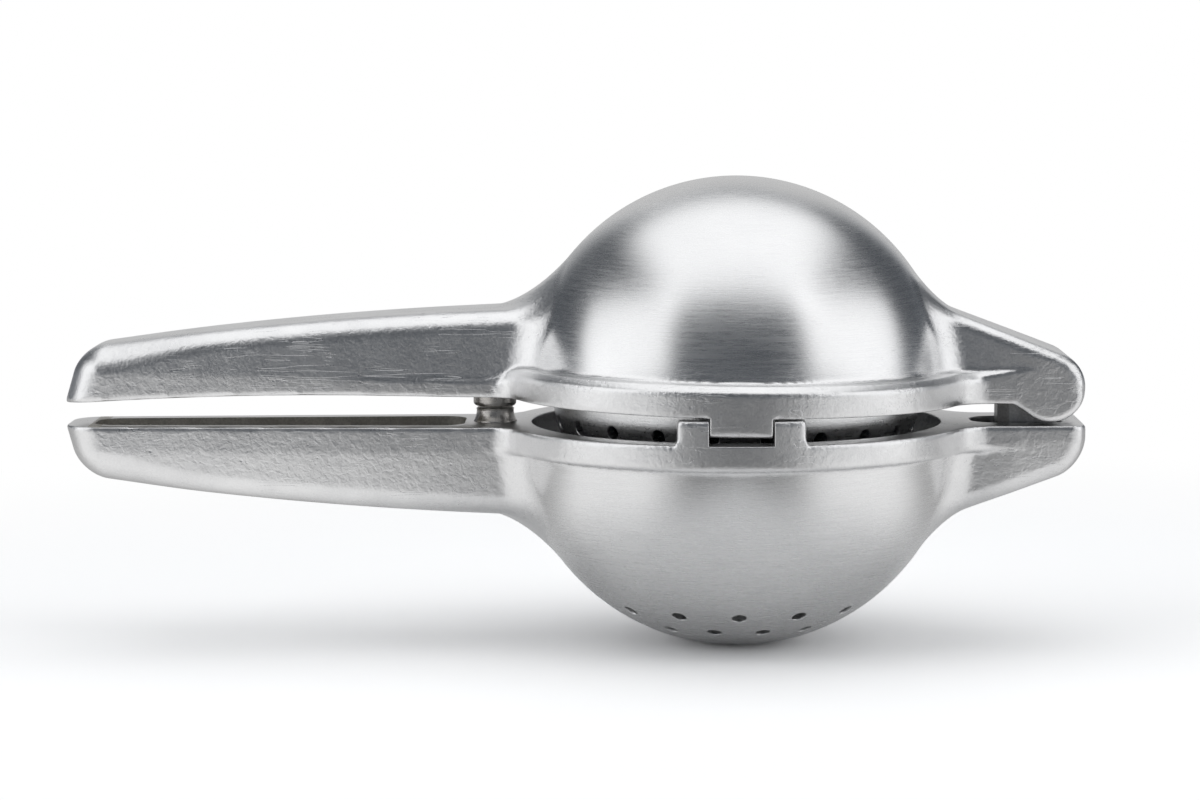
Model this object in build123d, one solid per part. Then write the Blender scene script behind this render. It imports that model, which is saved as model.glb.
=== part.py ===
from build123d import *
import math
import os

# Hinged lemon squeezer: two cast aluminium halves that close like a nutcracker.
# Millimetres and degrees. +X points to the hinge, the handles lie toward -X, +Z is up.
# Every piece is first made on the lower casting's top face (z = 0) and is lifted at the
# end, so that the flat under the bowl lies on z = 0 with the origin at its centre.

# Lower bowl
bowl_radius = 47.0
bowl_wall = 3.5
bowl_centre_offset = 0.85
rest_flat_radius = 6.0

# Upper dome, a little smaller than the bowl
dome_step = 1.7
dome_wall = 3.5
dome_centre_offset = 1.1

# Flanges round the two mouths, a step wider than the bowl
flange_step = 2.4
lower_flange_thickness = 5.4
upper_flange_thickness = 6.5
lower_flange_round = 1.2
upper_flange_round = 1.5
flange_groove_round = 1.0

# Handles. The reach is measured from the centre of the bowl
handle_reach = 142.0
handle_end_lean = 15.5
handle_root_gap = 7.6
handle_root_half_width = 13.7
handle_end_half_width = 10.6
handle_crown = 1.1
handle_edge_round = 4.5
lower_handle_tip_round = 5.5
upper_handle_tip_round = 5.0
handle_blend_radius = 17.0
handle_web_round = 4.3
lower_handle_root_depth = 18.5
lower_handle_end_depth = 10.4
upper_handle_root_depth = 17.7
upper_handle_end_depth = 8.3
upper_handle_arch_gap = 18.0
upper_handle_droop = 2.9

# Relief pocket in the inner side of each handle
pocket_side_wall = 4.3
pocket_floor_wall = 4.2
pocket_end_wall = 5.7
pocket_root_gap = 8.1
pocket_corner_round = 5.0

# Lugs on the hinge side
lug_half_width = 14.0
lug_blend_radius = 12.0
lug_web_round = 8.0
lower_lug_root_depth = 17.5
lower_lug_end_depth = 8.8
lower_lug_end_round = 6.0
lower_lug_edge_round = 3.5
lower_lug_end_margin = 0.4
upper_lug_slope = 20.3
upper_lug_edge_round = 2.2

# Hinge
hinge_gap = 16.1
hinge_height = 7.8
face_gap_at_hinge = 4.5
rest_open_angle = 0.9
lobe_radius = 7.1
lobe_neck_round = 2.5
hinge_pin_diameter = 4.0
hinge_pin_running_clearance = 0.05
hinge_pin_front_skin = 3.5
hinge_pin_back_recess = 0.6

# Tongue that stands in the lower lug and carries the hinge pin
tongue_half_thickness = 5.8
tongue_side_clearance = 0.3
knuckle_radius = 4.4
knuckle_clearance = 0.45
tongue_nose_reach = 10.3
tongue_nose_drop = 2.4
tongue_nose_round = 1.2
tongue_nose_chamfer = 2.3
tongue_heel_reach = 1.8
tongue_sweep_angle = 103.0
slot_half_width = 6.7
slot_depth = 7.0
slot_nose_gap = 5.6
slot_heel_gap = 1.4
slot_nose_round = 5.5
slot_heel_round = 1.2
anchor_pin_diameter = 3.5
anchor_pin_setback = 5.7
anchor_pin_depth = 3.8
anchor_pin_front_skin = 3.5
anchor_pin_back_recess = 0.6

# Press cup held in the dome's mouth
cup_side_gap = 4.2
cup_wall = 2.0
cup_centre_offset = 4.3
cup_seat_width = 2.2
cup_rim_thickness = 2.0
cup_rim_recess = 0.6
cup_hole_diameter = 3.0
cup_hole_count = 21
cup_hole_latitude = 14.6

# Juice holes in the bowl
juice_hole_diameter = 3.0
juice_holes_per_ring = 14
outer_ring_polar_angle = 37.5
inner_ring_polar_angle = 28.5

# Teeth and tabs that keep the two rims in line
tooth_width = 6.4
tooth_height = 5.1
tooth_depth = 4.0
tab_width = 12.5
tab_drop = 3.9
tab_side_clearance = 0.35
tooth_round = 0.5

# Stop studs between the handles
stud_setback = 1.8
lower_stud_diameter = 8.1
lower_stud_height = 3.0
lower_stud_foot_diameter = 9.2
lower_stud_foot_height = 2.2
upper_stud_diameter = 9.1
stud_gap = 0.25
stud_shank_diameter = 5.0
stud_shank_length = 6.0
lower_stud_edge_chamfer = 0.3
upper_stud_edge_chamfer = 0.9

# Allowances of the modelling itself
same_place = 0.01
cut_margin = 1.0

# Worked out from the sizes above
rim_height = bowl_centre_offset + math.sqrt(bowl_radius**2 - rest_flat_radius**2)
bowl_inner_radius = bowl_radius - bowl_wall
dome_radius = bowl_radius - dome_step
dome_inner_radius = dome_radius - dome_wall
cup_radius = bowl_inner_radius - cup_side_gap
cup_rim_radius = dome_inner_radius + cup_seat_width
flange_radius = bowl_radius + flange_step
handle_root_x = flange_radius + handle_root_gap
upper_handle_arch_x = handle_root_x + upper_handle_arch_gap
pocket_root_x = flange_radius + pocket_root_gap
hinge_x = flange_radius + hinge_gap
hinge_above_upper_face = hinge_height - face_gap_at_hinge
hinge_pin_radius = hinge_pin_diameter / 2
lug_reach = hinge_x + lobe_radius + lower_lug_end_margin
anchor_pin_x = hinge_x - anchor_pin_setback
stud_x = flange_radius + stud_setback
fork_half_width = tongue_half_thickness + tongue_side_clearance
tongue_nose_x = hinge_x - tongue_nose_reach
tongue_heel_x = hinge_x + tongue_heel_reach
through = 4 * flange_radius


def in_xz(face):
    """Stand a face drawn in x and y up in the plane of x and z."""
    return Plane.XZ * face


def outline(*edges):
    """Face bounded by edges given in order."""
    return make_face(Wire(edges))


def slab(face, half_width):
    """Profile in x and z, extruded both ways along y."""
    return extrude(in_xz(face), half_width, both=True)


def tapered_plan(near_x, near_half, far_x, far_half):
    """Plan of a handle, lug or pocket that runs from near_x out to far_x."""
    return make_face(
        Polyline(
            (near_x, near_half),
            (far_x, far_half),
            (far_x, -far_half),
            (near_x, -near_half),
            close=True,
        )
    )


def handle_half_width(x):
    """Half the handle's width at a distance x from the bowl's centre."""
    share = (x - handle_root_x) / (handle_reach - handle_root_x)
    return handle_root_half_width + share * (handle_end_half_width - handle_root_half_width)


def handle_plan():
    """Plan of the whole handle, run in under the flange."""
    return tapered_plan(0, handle_half_width(0), -handle_reach, handle_end_half_width)


def lug_plan(reach):
    """Plan of a lug, run in under the flange."""
    return tapered_plan(0, lug_half_width, reach, lug_half_width)


def flange_plan(reach):
    """Flange disc with the handle and lug run into it by rounded corners."""
    disc = Circle(flange_radius)
    plan = disc + handle_plan()
    plan = fillet(rim_corners(plan, -1), handle_web_round)
    plan = plan + lug_plan(reach)
    return fillet(rim_corners(plan, 1), lug_web_round)


def rim_corners(plan, side):
    """Vertices on one side of the disc where a straight side runs into the flange."""
    return [
        v
        for v in plan.vertices()
        if side * v.X > 0 and abs(math.hypot(v.X, v.Y) - flange_radius) < same_place
    ]


def blend_arc(ball_radius, ball_height, line_x, line_height, line_angle, blend_radius):
    """Concave arc that leaves a sloping line and runs tangent into the ball.

    The line passes through (line_x, line_height) and falls outwards at line_angle.
    Returns the arc's foot on the line, its head on the ball and its centre.
    """
    slope = math.radians(line_angle)
    along_x, along_z = math.cos(slope), -math.sin(slope)
    away_x, away_z = math.sin(slope), math.cos(slope)
    start_x = line_x + blend_radius * away_x
    start_z = line_height + blend_radius * away_z - ball_height
    reach = ball_radius + blend_radius
    run = start_x * along_x + start_z * along_z
    step = -run + math.sqrt(run**2 - (start_x**2 + start_z**2 - reach**2))
    centre_x = start_x + step * along_x
    centre_z = start_z + step * along_z
    share = ball_radius / reach
    head = (centre_x * share, ball_height + centre_z * share)
    centre = (centre_x, ball_height + centre_z)
    foot = (centre_x - blend_radius * away_x, centre[1] - blend_radius * away_z)
    return foot, head, centre


def arc_between(start, end, centre):
    """Shorter arc from start to end round centre."""
    radius = math.dist(start, centre)
    middle = ((start[0] + end[0]) / 2 - centre[0], (start[1] + end[1]) / 2 - centre[1])
    scale = radius / math.hypot(*middle)
    return ThreePointArc(start, (centre[0] + middle[0] * scale, centre[1] + middle[1] * scale), end)


def ball_blank(radius, height, flat_radius, flange_thickness):
    """Ball on its mouth face, with the small groove where it leaves the flange."""
    foot, head, centre = blend_arc(radius, height, flange_radius, flange_thickness, 0, flange_groove_round)
    top = height + math.sqrt(radius**2 - flat_radius**2)
    start = math.degrees(math.atan2(head[1] - height, head[0]))
    stop = math.degrees(math.acos(flat_radius / radius))
    edges = [
        Line((0, 0), (foot[0], 0)),
        Line((foot[0], 0), foot),
        arc_between(foot, head, centre),
        CenterArc((0, height), radius, start, stop - start),
    ]
    if flat_radius > 0:
        edges.append(Line((flat_radius, top), (0, top)))
    edges.append(Line((0, top), (0, 0)))
    return revolve(in_xz(outline(*edges)), Axis.Z)


def blend_skirt(radius, height, line_x, line_height, line_angle, blend_radius, plan):
    """Concave skirt from the ball out to a bar's sloping back, inside the bar's plan."""
    foot, head, centre = blend_arc(radius, height, line_x, line_height, line_angle, blend_radius)
    half = outline(
        Line((0, 0), (foot[0], 0)),
        Line((foot[0], 0), foot),
        arc_between(foot, head, centre),
        Line(head, (0, head[1])),
        Line((0, head[1]), (0, 0)),
    )
    return revolve(in_xz(half), Axis.Z) & extrude(plan, through)


def handle_root_slope(root_depth, end_depth):
    """Slope of the crowned back where it reaches the handle's root."""
    run = handle_reach - handle_root_x
    rise = root_depth - end_depth
    chord = math.hypot(run, rise)
    return math.degrees(math.atan2(rise, run) - 2 * math.atan(2 * handle_crown / chord))


def handle_back(root_depth, end_depth):
    """Crowned line of the handle's back, from the tip to the root."""
    middle_x = -(handle_reach + handle_root_x) / 2
    middle_depth = (root_depth + end_depth) / 2 + handle_crown
    return ThreePointArc((-handle_reach, end_depth), (middle_x, middle_depth), (-handle_root_x, root_depth))


def handle_face_edges(near_x, droop):
    """Inner side of the handle, from the root to the tip. It sags near the tip by droop."""
    if droop == 0:
        return [Line((near_x, 0), (-handle_reach, 0))]
    return [
        Line((near_x, 0), (-upper_handle_arch_x, 0)),
        TangentArc((-upper_handle_arch_x, 0), (-handle_reach, -droop), tangent=(-1, 0)),
    ]


def beyond_handle_end(droop):
    """Profile of what lies beyond the handle's end, which leans inwards towards the back."""
    low = -droop
    high = low + flange_radius
    return make_face(
        Polyline(
            (-handle_reach, low),
            (-handle_reach + flange_radius * math.tan(math.radians(handle_end_lean)), high),
            (-handle_reach - cut_margin, high),
            (-handle_reach - cut_margin, low),
            close=True,
        )
    )


def handle_bar(root_depth, end_depth, droop, tip_round):
    """Handle with its side edges rounded, run in to the bowl's centre."""
    slope = math.tan(math.radians(handle_root_slope(root_depth, end_depth)))
    centre_depth = root_depth + handle_root_x * slope
    profile = outline(
        *handle_face_edges(0, droop),
        Line((-handle_reach, -droop), (-handle_reach, end_depth)),
        handle_back(root_depth, end_depth),
        Line((-handle_root_x, root_depth), (0, centre_depth)),
        Line((0, centre_depth), (0, 0)),
    )
    profile = profile - beyond_handle_end(droop)
    tip = profile.vertices().sort_by(Axis.X)[1]
    profile = fillet(tip, tip_round)
    bar = slab(profile, flange_radius) & Pos(0, 0, -through / 2) * extrude(handle_plan(), through)
    return round_sides(bar, handle_edge_round)


def handle_pocket(root_depth, end_depth, droop):
    """Relief pocket that leaves an even floor and side walls in the handle."""
    tip_x = -handle_reach + pocket_end_wall
    open_side = -droop - cut_margin
    profile = outline(
        Line((-handle_reach, open_side), (-handle_reach, end_depth)),
        handle_back(root_depth, end_depth),
        Line((-handle_root_x, root_depth), (-handle_root_x, open_side)),
        Line((-handle_root_x, open_side), (-handle_reach, open_side)),
    )
    floor = Pos(0, 0, -pocket_floor_wall) * slab(profile, flange_radius)
    plan = tapered_plan(
        -pocket_root_x,
        handle_half_width(pocket_root_x) - pocket_side_wall,
        tip_x,
        handle_half_width(-tip_x) - pocket_side_wall,
    )
    plan = fillet(plan.vertices(), pocket_corner_round)
    return floor & Pos(0, 0, -through / 2) * extrude(plan, through)


def round_sides(bar, radius):
    """Round both sides of a bar along its back and down its outer end."""
    edges = []
    for edge in bar.edges():
        box = edge.bounding_box()
        clear_of_inner_side = box.max.Z > same_place
        clear_of_inner_end = max(abs(box.min.X), abs(box.max.X)) > same_place
        crosses_over = box.min.Y < 0 < box.max.Y
        if clear_of_inner_side and clear_of_inner_end and not crosses_over:
            edges.append(edge)
    return fillet(edges, radius)


def lower_lug_slope():
    """Slope of the lower lug's back."""
    return math.degrees(math.atan2(lower_lug_root_depth - lower_lug_end_depth, lug_reach - flange_radius))


def lower_lug_bar():
    """Lug under the hinge, run in to the bowl's centre."""
    slope = math.tan(math.radians(lower_lug_slope()))
    centre_depth = lower_lug_root_depth + flange_radius * slope
    profile = outline(
        Line((0, 0), (lug_reach, 0)),
        Line((lug_reach, 0), (lug_reach, lower_lug_end_depth)),
        Line((lug_reach, lower_lug_end_depth), (0, centre_depth)),
        Line((0, centre_depth), (0, 0)),
    )
    end = [v for v in profile.vertices() if abs(v.X - lug_reach) < same_place and v.Y > same_place]
    profile = fillet(end, lower_lug_end_round)
    bar = slab(profile, flange_radius) & Pos(0, 0, -through / 2) * extrude(lug_plan(lug_reach), through)
    return round_sides(bar, lower_lug_edge_round)


def upper_lug_bar():
    """Lug whose back runs tangent into the round lobe that turns on the hinge pin."""
    slope = math.radians(upper_lug_slope)
    touch_x = hinge_x + lobe_radius * math.sin(slope)
    touch_z = hinge_above_upper_face + lobe_radius * math.cos(slope)
    centre_depth = touch_z + touch_x * math.tan(slope)
    wedge = make_face(
        Polyline(
            (0, 0),
            (hinge_x, 0),
            (hinge_x, hinge_above_upper_face),
            (touch_x, touch_z),
            (0, centre_depth),
            close=True,
        )
    )
    profile = wedge + Pos(hinge_x, hinge_above_upper_face) * Circle(lobe_radius)
    neck = [v for v in profile.vertices() if abs(v.Y) < same_place and v.X > same_place]
    profile = fillet(neck, lobe_neck_round)
    bar = slab(profile, lug_half_width)
    side_edges = []
    for edge in bar.edges():
        box = edge.bounding_box()
        if box.size.Y < same_place and box.size.X > same_place and box.size.Z > same_place:
            side_edges.append(edge)
    return fillet(side_edges, upper_lug_edge_round)


def flange_plate(reach, thickness, edge_round):
    """Flange with its rounded run-outs, cut off a little way along the handle and the lug."""
    near_radius = flange_radius + lug_web_round
    plate = extrude(flange_plan(reach) & Circle(near_radius), thickness)
    outer_edges = []
    for edge in plate.edges():
        on_top = edge.bounding_box().min.Z > thickness - same_place
        middle = edge.position_at(0.5)
        if on_top and math.hypot(middle.X, middle.Y) < near_radius - same_place:
            outer_edges.append(edge)
    return fillet(outer_edges, edge_round)


def lower_blank():
    """Outside of the lower half, top face on z = 0 and material above it."""
    handle_slope = handle_root_slope(lower_handle_root_depth, lower_handle_end_depth)
    handle_skirt = blend_skirt(
        bowl_radius,
        bowl_centre_offset,
        handle_root_x,
        lower_handle_root_depth,
        handle_slope,
        handle_blend_radius,
        handle_plan(),
    )
    lug_skirt = blend_skirt(
        bowl_radius,
        bowl_centre_offset,
        flange_radius,
        lower_lug_root_depth,
        lower_lug_slope(),
        lug_blend_radius,
        lug_plan(lug_reach),
    )
    plate = flange_plate(lug_reach, lower_flange_thickness, lower_flange_round)
    handle = handle_bar(lower_handle_root_depth, lower_handle_end_depth, 0, lower_handle_tip_round)
    ball = ball_blank(bowl_radius, bowl_centre_offset, rest_flat_radius, lower_flange_thickness)
    return handle + handle_skirt + lower_lug_bar() + lug_skirt + plate + ball


def upper_blank():
    """Outside of the upper half, under face on z = 0 and material above it."""
    handle_slope = handle_root_slope(upper_handle_root_depth, upper_handle_end_depth)
    handle_skirt = blend_skirt(
        dome_radius,
        dome_centre_offset,
        handle_root_x,
        upper_handle_root_depth,
        handle_slope,
        handle_blend_radius,
        handle_plan(),
    )
    slope = math.radians(upper_lug_slope)
    lug_skirt = blend_skirt(
        dome_radius,
        dome_centre_offset,
        hinge_x + lobe_radius * math.sin(slope),
        hinge_above_upper_face + lobe_radius * math.cos(slope),
        upper_lug_slope,
        lug_blend_radius,
        lug_plan(hinge_x),
    )
    plate = flange_plate(hinge_x, upper_flange_thickness, upper_flange_round)
    handle = handle_bar(
        upper_handle_root_depth,
        upper_handle_end_depth,
        upper_handle_droop,
        upper_handle_tip_round,
    )
    ball = ball_blank(dome_radius, dome_centre_offset, 0, upper_flange_thickness)
    return handle + handle_skirt + upper_lug_bar() + lug_skirt + plate + ball


def hollow(radius, centre_offset):
    """Ball-shaped hollow, open at the mouth face."""
    ball = Pos(0, 0, centre_offset) * Sphere(radius)
    below = Pos(0, 0, -radius) * Box(through, through, 2 * radius)
    mouth = Pos(0, 0, -centre_offset) * Cylinder(math.sqrt(radius**2 - centre_offset**2), 2 * centre_offset)
    return (ball - below) + mouth


def rim_block(centre_x, side, width, height):
    """Block on the rim at the front (side -1) or the back, with its top edges rounded."""
    ring = Circle(flange_radius) - Circle(flange_radius - tooth_depth)
    strip = Pos(centre_x, side * flange_radius) * Rectangle(width, flange_radius)
    block = extrude(ring & strip, height)
    top_edges = block.edges().filter_by(lambda e: e.bounding_box().min.Z > height - same_place)
    return fillet(top_edges, tooth_round)


def turned_over():
    """Turn that hangs below z = 0 what was drawn standing on it."""
    return Rot(180, 0, 0)


def to_rest(shape):
    """Set a part of the upper half on the lower half, opened by the small rest angle."""
    lifted = Pos(0, 0, face_gap_at_hinge) * shape
    return lifted.rotate(Axis((hinge_x, 0, hinge_height), (0, 1, 0)), rest_open_angle)


def tangent_point(from_x, from_z, radius, side):
    """Where a line from a point touches the hinge-centred circle. Side +1 is its left side."""
    x = from_x - hinge_x
    z = from_z - hinge_height
    distance = math.hypot(x, z)
    angle = math.atan2(z, x) - side * math.acos(radius / distance)
    return (hinge_x + radius * math.cos(angle), hinge_height + radius * math.sin(angle))


def tongue_profile():
    """Side view of the tongue: foot in the slot, nose to the left and a round knuckle."""
    nose_z = hinge_height - tongue_nose_drop
    heel_touch = tangent_point(tongue_heel_x, 0, knuckle_radius, -1)
    body = make_face(
        Polyline(
            (tongue_nose_x, -slot_depth),
            (tongue_nose_x, nose_z),
            tangent_point(tongue_nose_x, nose_z, knuckle_radius, 1),
            heel_touch,
            (tongue_heel_x, 0),
            (tongue_heel_x, -slot_depth),
            close=True,
        )
    )
    profile = body + Pos(hinge_x, hinge_height) * Circle(knuckle_radius)
    nose = [v for v in profile.vertices() if math.dist((v.X, v.Y), (tongue_nose_x, nose_z)) < same_place]
    return fillet(nose, tongue_nose_round)


def tongue_plan():
    """Plan of the tongue, with both corners of its nose cut off at 45 degrees."""
    shoulder_x = tongue_nose_x + tongue_nose_chamfer
    nose_half = tongue_half_thickness - tongue_nose_chamfer
    far_x = hinge_x + 2 * knuckle_radius
    return make_face(
        Polyline(
            (tongue_nose_x, nose_half),
            (shoulder_x, tongue_half_thickness),
            (far_x, tongue_half_thickness),
            (far_x, -tongue_half_thickness),
            (shoulder_x, -tongue_half_thickness),
            (tongue_nose_x, -nose_half),
            close=True,
        )
    )


def fork_slot():
    """Room that the tongue needs between the upper lug's cheeks over the whole swing."""
    reach = knuckle_radius + knuckle_clearance
    left = tongue_nose_x - knuckle_clearance
    ceiling = hinge_height - tongue_nose_drop + knuckle_clearance
    heel_touch = tangent_point(tongue_heel_x, 0, reach, -1)
    touch_angle = math.atan2(heel_touch[1] - hinge_height, heel_touch[0] - hinge_x)
    open_angle = touch_angle + math.radians(tongue_sweep_angle)
    turn_x = hinge_x + reach * math.cos(open_angle)
    turn_z = hinge_height + reach * math.sin(open_angle)
    exit_x = turn_x + through * math.sin(open_angle)
    exit_z = turn_z - through * math.cos(open_angle)
    room = make_face(
        Polyline(
            (left, -through),
            (left, ceiling),
            tangent_point(left, ceiling, reach, 1),
            (hinge_x, hinge_height),
            (turn_x, turn_z),
            (exit_x, exit_z),
            (exit_x, -through),
            close=True,
        )
    )
    room = room + Pos(hinge_x, hinge_height) * Circle(reach)
    return slab(room, fork_half_width)


def cross_pin(x, z, radius, front_y, back_y):
    """Pin along y between two depths."""
    return Pos(x, (front_y + back_y) / 2, z) * Rot(90, 0, 0) * Cylinder(radius, back_y - front_y)


def hinge_pin():
    """Pin pressed into both cheeks, blind at the front."""
    return cross_pin(
        hinge_x,
        hinge_height,
        hinge_pin_radius,
        hinge_pin_front_skin - lug_half_width,
        lug_half_width - hinge_pin_back_recess,
    )


def hinge_pin_bore():
    """Bore for the hinge pin, open at the back face."""
    front = hinge_pin_front_skin - lug_half_width
    return cross_pin(hinge_x, hinge_height, hinge_pin_radius, front, 2 * lug_half_width)


def tongue_anchor_pin():
    """Pin that holds the tongue's foot in the slot."""
    front = anchor_pin_front_skin - lug_half_width
    back = lug_half_width - anchor_pin_back_recess
    return cross_pin(anchor_pin_x, -anchor_pin_depth, anchor_pin_diameter / 2, front, back)


def anchor_pin_bore():
    """Bore for the anchor pin, open at the back face."""
    front = anchor_pin_front_skin - lug_half_width
    return cross_pin(anchor_pin_x, -anchor_pin_depth, anchor_pin_diameter / 2, front, 2 * lug_half_width)


def tongue_slot():
    """Slot in the lower lug that takes the tongue's foot, round at the nose end."""
    left = tongue_nose_x - slot_nose_gap
    right = tongue_heel_x + slot_heel_gap
    plan = Pos((left + right) / 2, 0) * Rectangle(right - left, 2 * slot_half_width)
    plan = fillet(plan.vertices().sort_by(Axis.X)[:2], slot_nose_round)
    plan = fillet(plan.vertices().sort_by(Axis.X)[-2:], slot_heel_round)
    return Pos(0, 0, -slot_depth) * extrude(plan, 2 * slot_depth)


def hinge_tongue():
    """Tongue with a running bore for the hinge pin and a tight bore for its anchor pin."""
    bore_radius = hinge_pin_radius + hinge_pin_running_clearance
    running_bore = cross_pin(hinge_x, hinge_height, bore_radius, -lug_half_width, lug_half_width)
    upright = Pos(0, 0, -through / 2) * extrude(tongue_plan(), through)
    body = slab(tongue_profile(), tongue_half_thickness) & upright
    return body - running_bore - anchor_pin_bore()


def radial_drill(polar_angle, azimuth, diameter, ball_radius, wall, ball_height):
    """Drill through a ball's wall, polar_angle away from straight down."""
    turn = Rot(0, 0, azimuth) * Rot(0, 180 - polar_angle, 0)
    drill = Cylinder(diameter / 2, 2 * (wall + cut_margin))
    return Pos(0, 0, ball_height) * turn * Pos(0, 0, ball_radius) * drill


def juice_drills():
    """Two staggered rings of juice holes, one hole of the outer ring at the front."""
    pitch = 360 / juice_holes_per_ring
    drills = []
    for index in range(juice_holes_per_ring):
        for polar_angle, shift in ((outer_ring_polar_angle, 0), (inner_ring_polar_angle, pitch / 2)):
            drills.append(
                radial_drill(
                    polar_angle,
                    index * pitch + shift - 90,
                    juice_hole_diameter,
                    bowl_radius,
                    bowl_wall,
                    -bowl_centre_offset,
                )
            )
    return drills


def stud_bore():
    """Blind hole for a stud's shank, from z = 0 upwards."""
    return Pos(-stud_x, 0, stud_shank_length / 2) * Cylinder(stud_shank_diameter / 2, stud_shank_length)


def stud(diameter, height, edge_chamfer):
    """Stud with its head below z = 0 and its shank above."""
    head = Pos(-stud_x, 0, -height / 2) * Cylinder(diameter / 2, height)
    rims = head.edges().filter_by(GeomType.CIRCLE)
    head = chamfer(rims.sort_by(Axis.Z)[0], edge_chamfer)
    return head + stud_bore()


def lower_stud():
    """Lower stud, drawn hanging below z = 0, with the foot that flares out where it sits."""
    foot_middle = Pos(-stud_x, 0, -lower_stud_foot_height / 2)
    foot = Cone(lower_stud_diameter / 2, lower_stud_foot_diameter / 2, lower_stud_foot_height)
    return stud(lower_stud_diameter, lower_stud_height, lower_stud_edge_chamfer) + foot_middle * foot


def upper_stud():
    """Upper stud, as long as the stop gap above the lower stud leaves it."""
    return stud(upper_stud_diameter, upper_stud_height(), upper_stud_edge_chamfer)


def upper_stud_height():
    """Length that leaves the stop gap above the lower stud at rest."""
    angle = math.radians(rest_open_angle)
    end_below_hinge = hinge_height - lower_stud_height - stud_gap
    along = (end_below_hinge + (stud_x + hinge_x) * math.sin(angle)) / math.cos(angle)
    return along - hinge_above_upper_face


def tooth_centre():
    """Distance of a tooth's middle from the middle of the tab."""
    return tab_width / 2 + tab_side_clearance + tooth_width / 2


def lower_casting():
    """Bowl, flange, handle, lug and teeth in one casting."""
    blank = lower_blank() - hollow(bowl_inner_radius, bowl_centre_offset)
    blank = blank - handle_pocket(lower_handle_root_depth, lower_handle_end_depth, 0) - stud_bore()
    casting = turned_over() * blank
    for side in (-1, 1):
        for centre_x in (-tooth_centre(), tooth_centre()):
            casting = casting + rim_block(centre_x, side, tooth_width, tooth_height)
    casting = casting - tongue_slot() - anchor_pin_bore()
    return casting - juice_drills()


def upper_casting():
    """Dome, flange, handle, hinge fork and tabs in one casting."""
    blank = upper_blank() - hollow(dome_inner_radius, dome_centre_offset)
    seat_depth = cup_rim_recess + cup_rim_thickness
    blank = blank - Pos(0, 0, seat_depth / 2) * Cylinder(cup_rim_radius, seat_depth)
    blank = blank - handle_pocket(upper_handle_root_depth, upper_handle_end_depth, upper_handle_droop)
    blank = blank - stud_bore()
    for side in (-1, 1):
        blank = blank + turned_over() * rim_block(0, side, tab_width, tab_drop)
    return to_rest(blank) - fork_slot() - hinge_pin_bore()


def press_cup():
    """Perforated cup that presses the fruit, with the rim that seats in the dome's mouth."""
    top = cup_rim_recess + cup_rim_thickness
    inner_radius = cup_radius - cup_wall

    def wall_x(radius, z):
        return math.sqrt(radius**2 - (cup_centre_offset - z) ** 2)

    def wall_angle(radius, z):
        return math.degrees(math.atan2(z - cup_centre_offset, wall_x(radius, z)))

    outer_start = wall_angle(cup_radius, cup_rim_recess)
    inner_start = wall_angle(inner_radius, top)
    half = outline(
        CenterArc((0, cup_centre_offset), cup_radius, -90, outer_start + 90),
        Line((wall_x(cup_radius, cup_rim_recess), cup_rim_recess), (cup_rim_radius, cup_rim_recess)),
        Line((cup_rim_radius, cup_rim_recess), (cup_rim_radius, top)),
        Line((cup_rim_radius, top), (wall_x(inner_radius, top), top)),
        CenterArc((0, cup_centre_offset), inner_radius, inner_start, -90 - inner_start),
        Line((0, cup_centre_offset - inner_radius), (0, cup_centre_offset - cup_radius)),
    )
    cup = revolve(in_xz(half), Axis.Z)
    pitch = 360 / cup_hole_count
    drills = []
    for index in range(cup_hole_count):
        drills.append(
            radial_drill(
                90 - cup_hole_latitude,
                (index + 0.5) * pitch - 90,
                cup_hole_diameter,
                cup_radius,
                cup_wall,
                cup_centre_offset,
            )
        )
    return to_rest(cup - drills)


def write_parts():
    """Lift every piece so that the flat under the bowl lies on z = 0, and write it."""
    pieces = {
        "lower_casting": lower_casting(),
        "hinge_tongue": hinge_tongue(),
        "tongue_anchor_pin": tongue_anchor_pin(),
        "lower_stop_stud": turned_over() * lower_stud(),
        "upper_casting": upper_casting(),
        "press_cup": press_cup(),
        "upper_stop_stud": to_rest(upper_stud()),
        "hinge_pin": hinge_pin(),
    }
    os.makedirs("parts", exist_ok=True)
    for name, piece in pieces.items():
        export_step(Pos(0, 0, rim_height) * piece, f"parts/{name}.step")


write_parts()
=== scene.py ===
import math
from dataclasses import dataclass

import bmesh
import bpy
import numpy as np
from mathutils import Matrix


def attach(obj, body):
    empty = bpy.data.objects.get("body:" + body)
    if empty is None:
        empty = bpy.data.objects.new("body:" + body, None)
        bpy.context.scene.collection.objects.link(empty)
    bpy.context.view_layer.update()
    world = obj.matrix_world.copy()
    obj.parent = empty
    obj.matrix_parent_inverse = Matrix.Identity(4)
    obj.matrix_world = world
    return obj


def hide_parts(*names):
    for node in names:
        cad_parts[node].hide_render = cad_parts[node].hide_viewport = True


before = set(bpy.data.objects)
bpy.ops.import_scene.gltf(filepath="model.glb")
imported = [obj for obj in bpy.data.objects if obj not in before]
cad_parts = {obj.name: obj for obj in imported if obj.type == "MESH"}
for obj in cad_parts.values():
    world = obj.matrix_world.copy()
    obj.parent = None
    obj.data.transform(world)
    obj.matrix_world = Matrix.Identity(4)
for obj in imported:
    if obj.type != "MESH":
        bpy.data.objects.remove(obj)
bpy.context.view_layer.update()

import openvdb
from mathutils import Matrix, Quaternion, Vector

# Hinged lemon squeezer. Sizes of the castings are in millimetres and are read from the
# parting face upwards, the way each half lies when its mouth faces down. MM turns them
# into the metres of the scene. A span is the stretch over which one form fades into another.
MM = 0.001

# Fineness of the meshes: grid of the castings' fields, and steps round arcs and turned forms
GRID_STEP = 0.5
LATHE_STEPS = 256
BALL_STEPS = 96
BORE_STEPS = 64
STUD_BORE_STEPS = 48
JUICE_HOLE_STEPS = 40
CUP_HOLE_STEPS = 32
KNUCKLE_STEPS = 32
FACE_STEPS = 48

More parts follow.
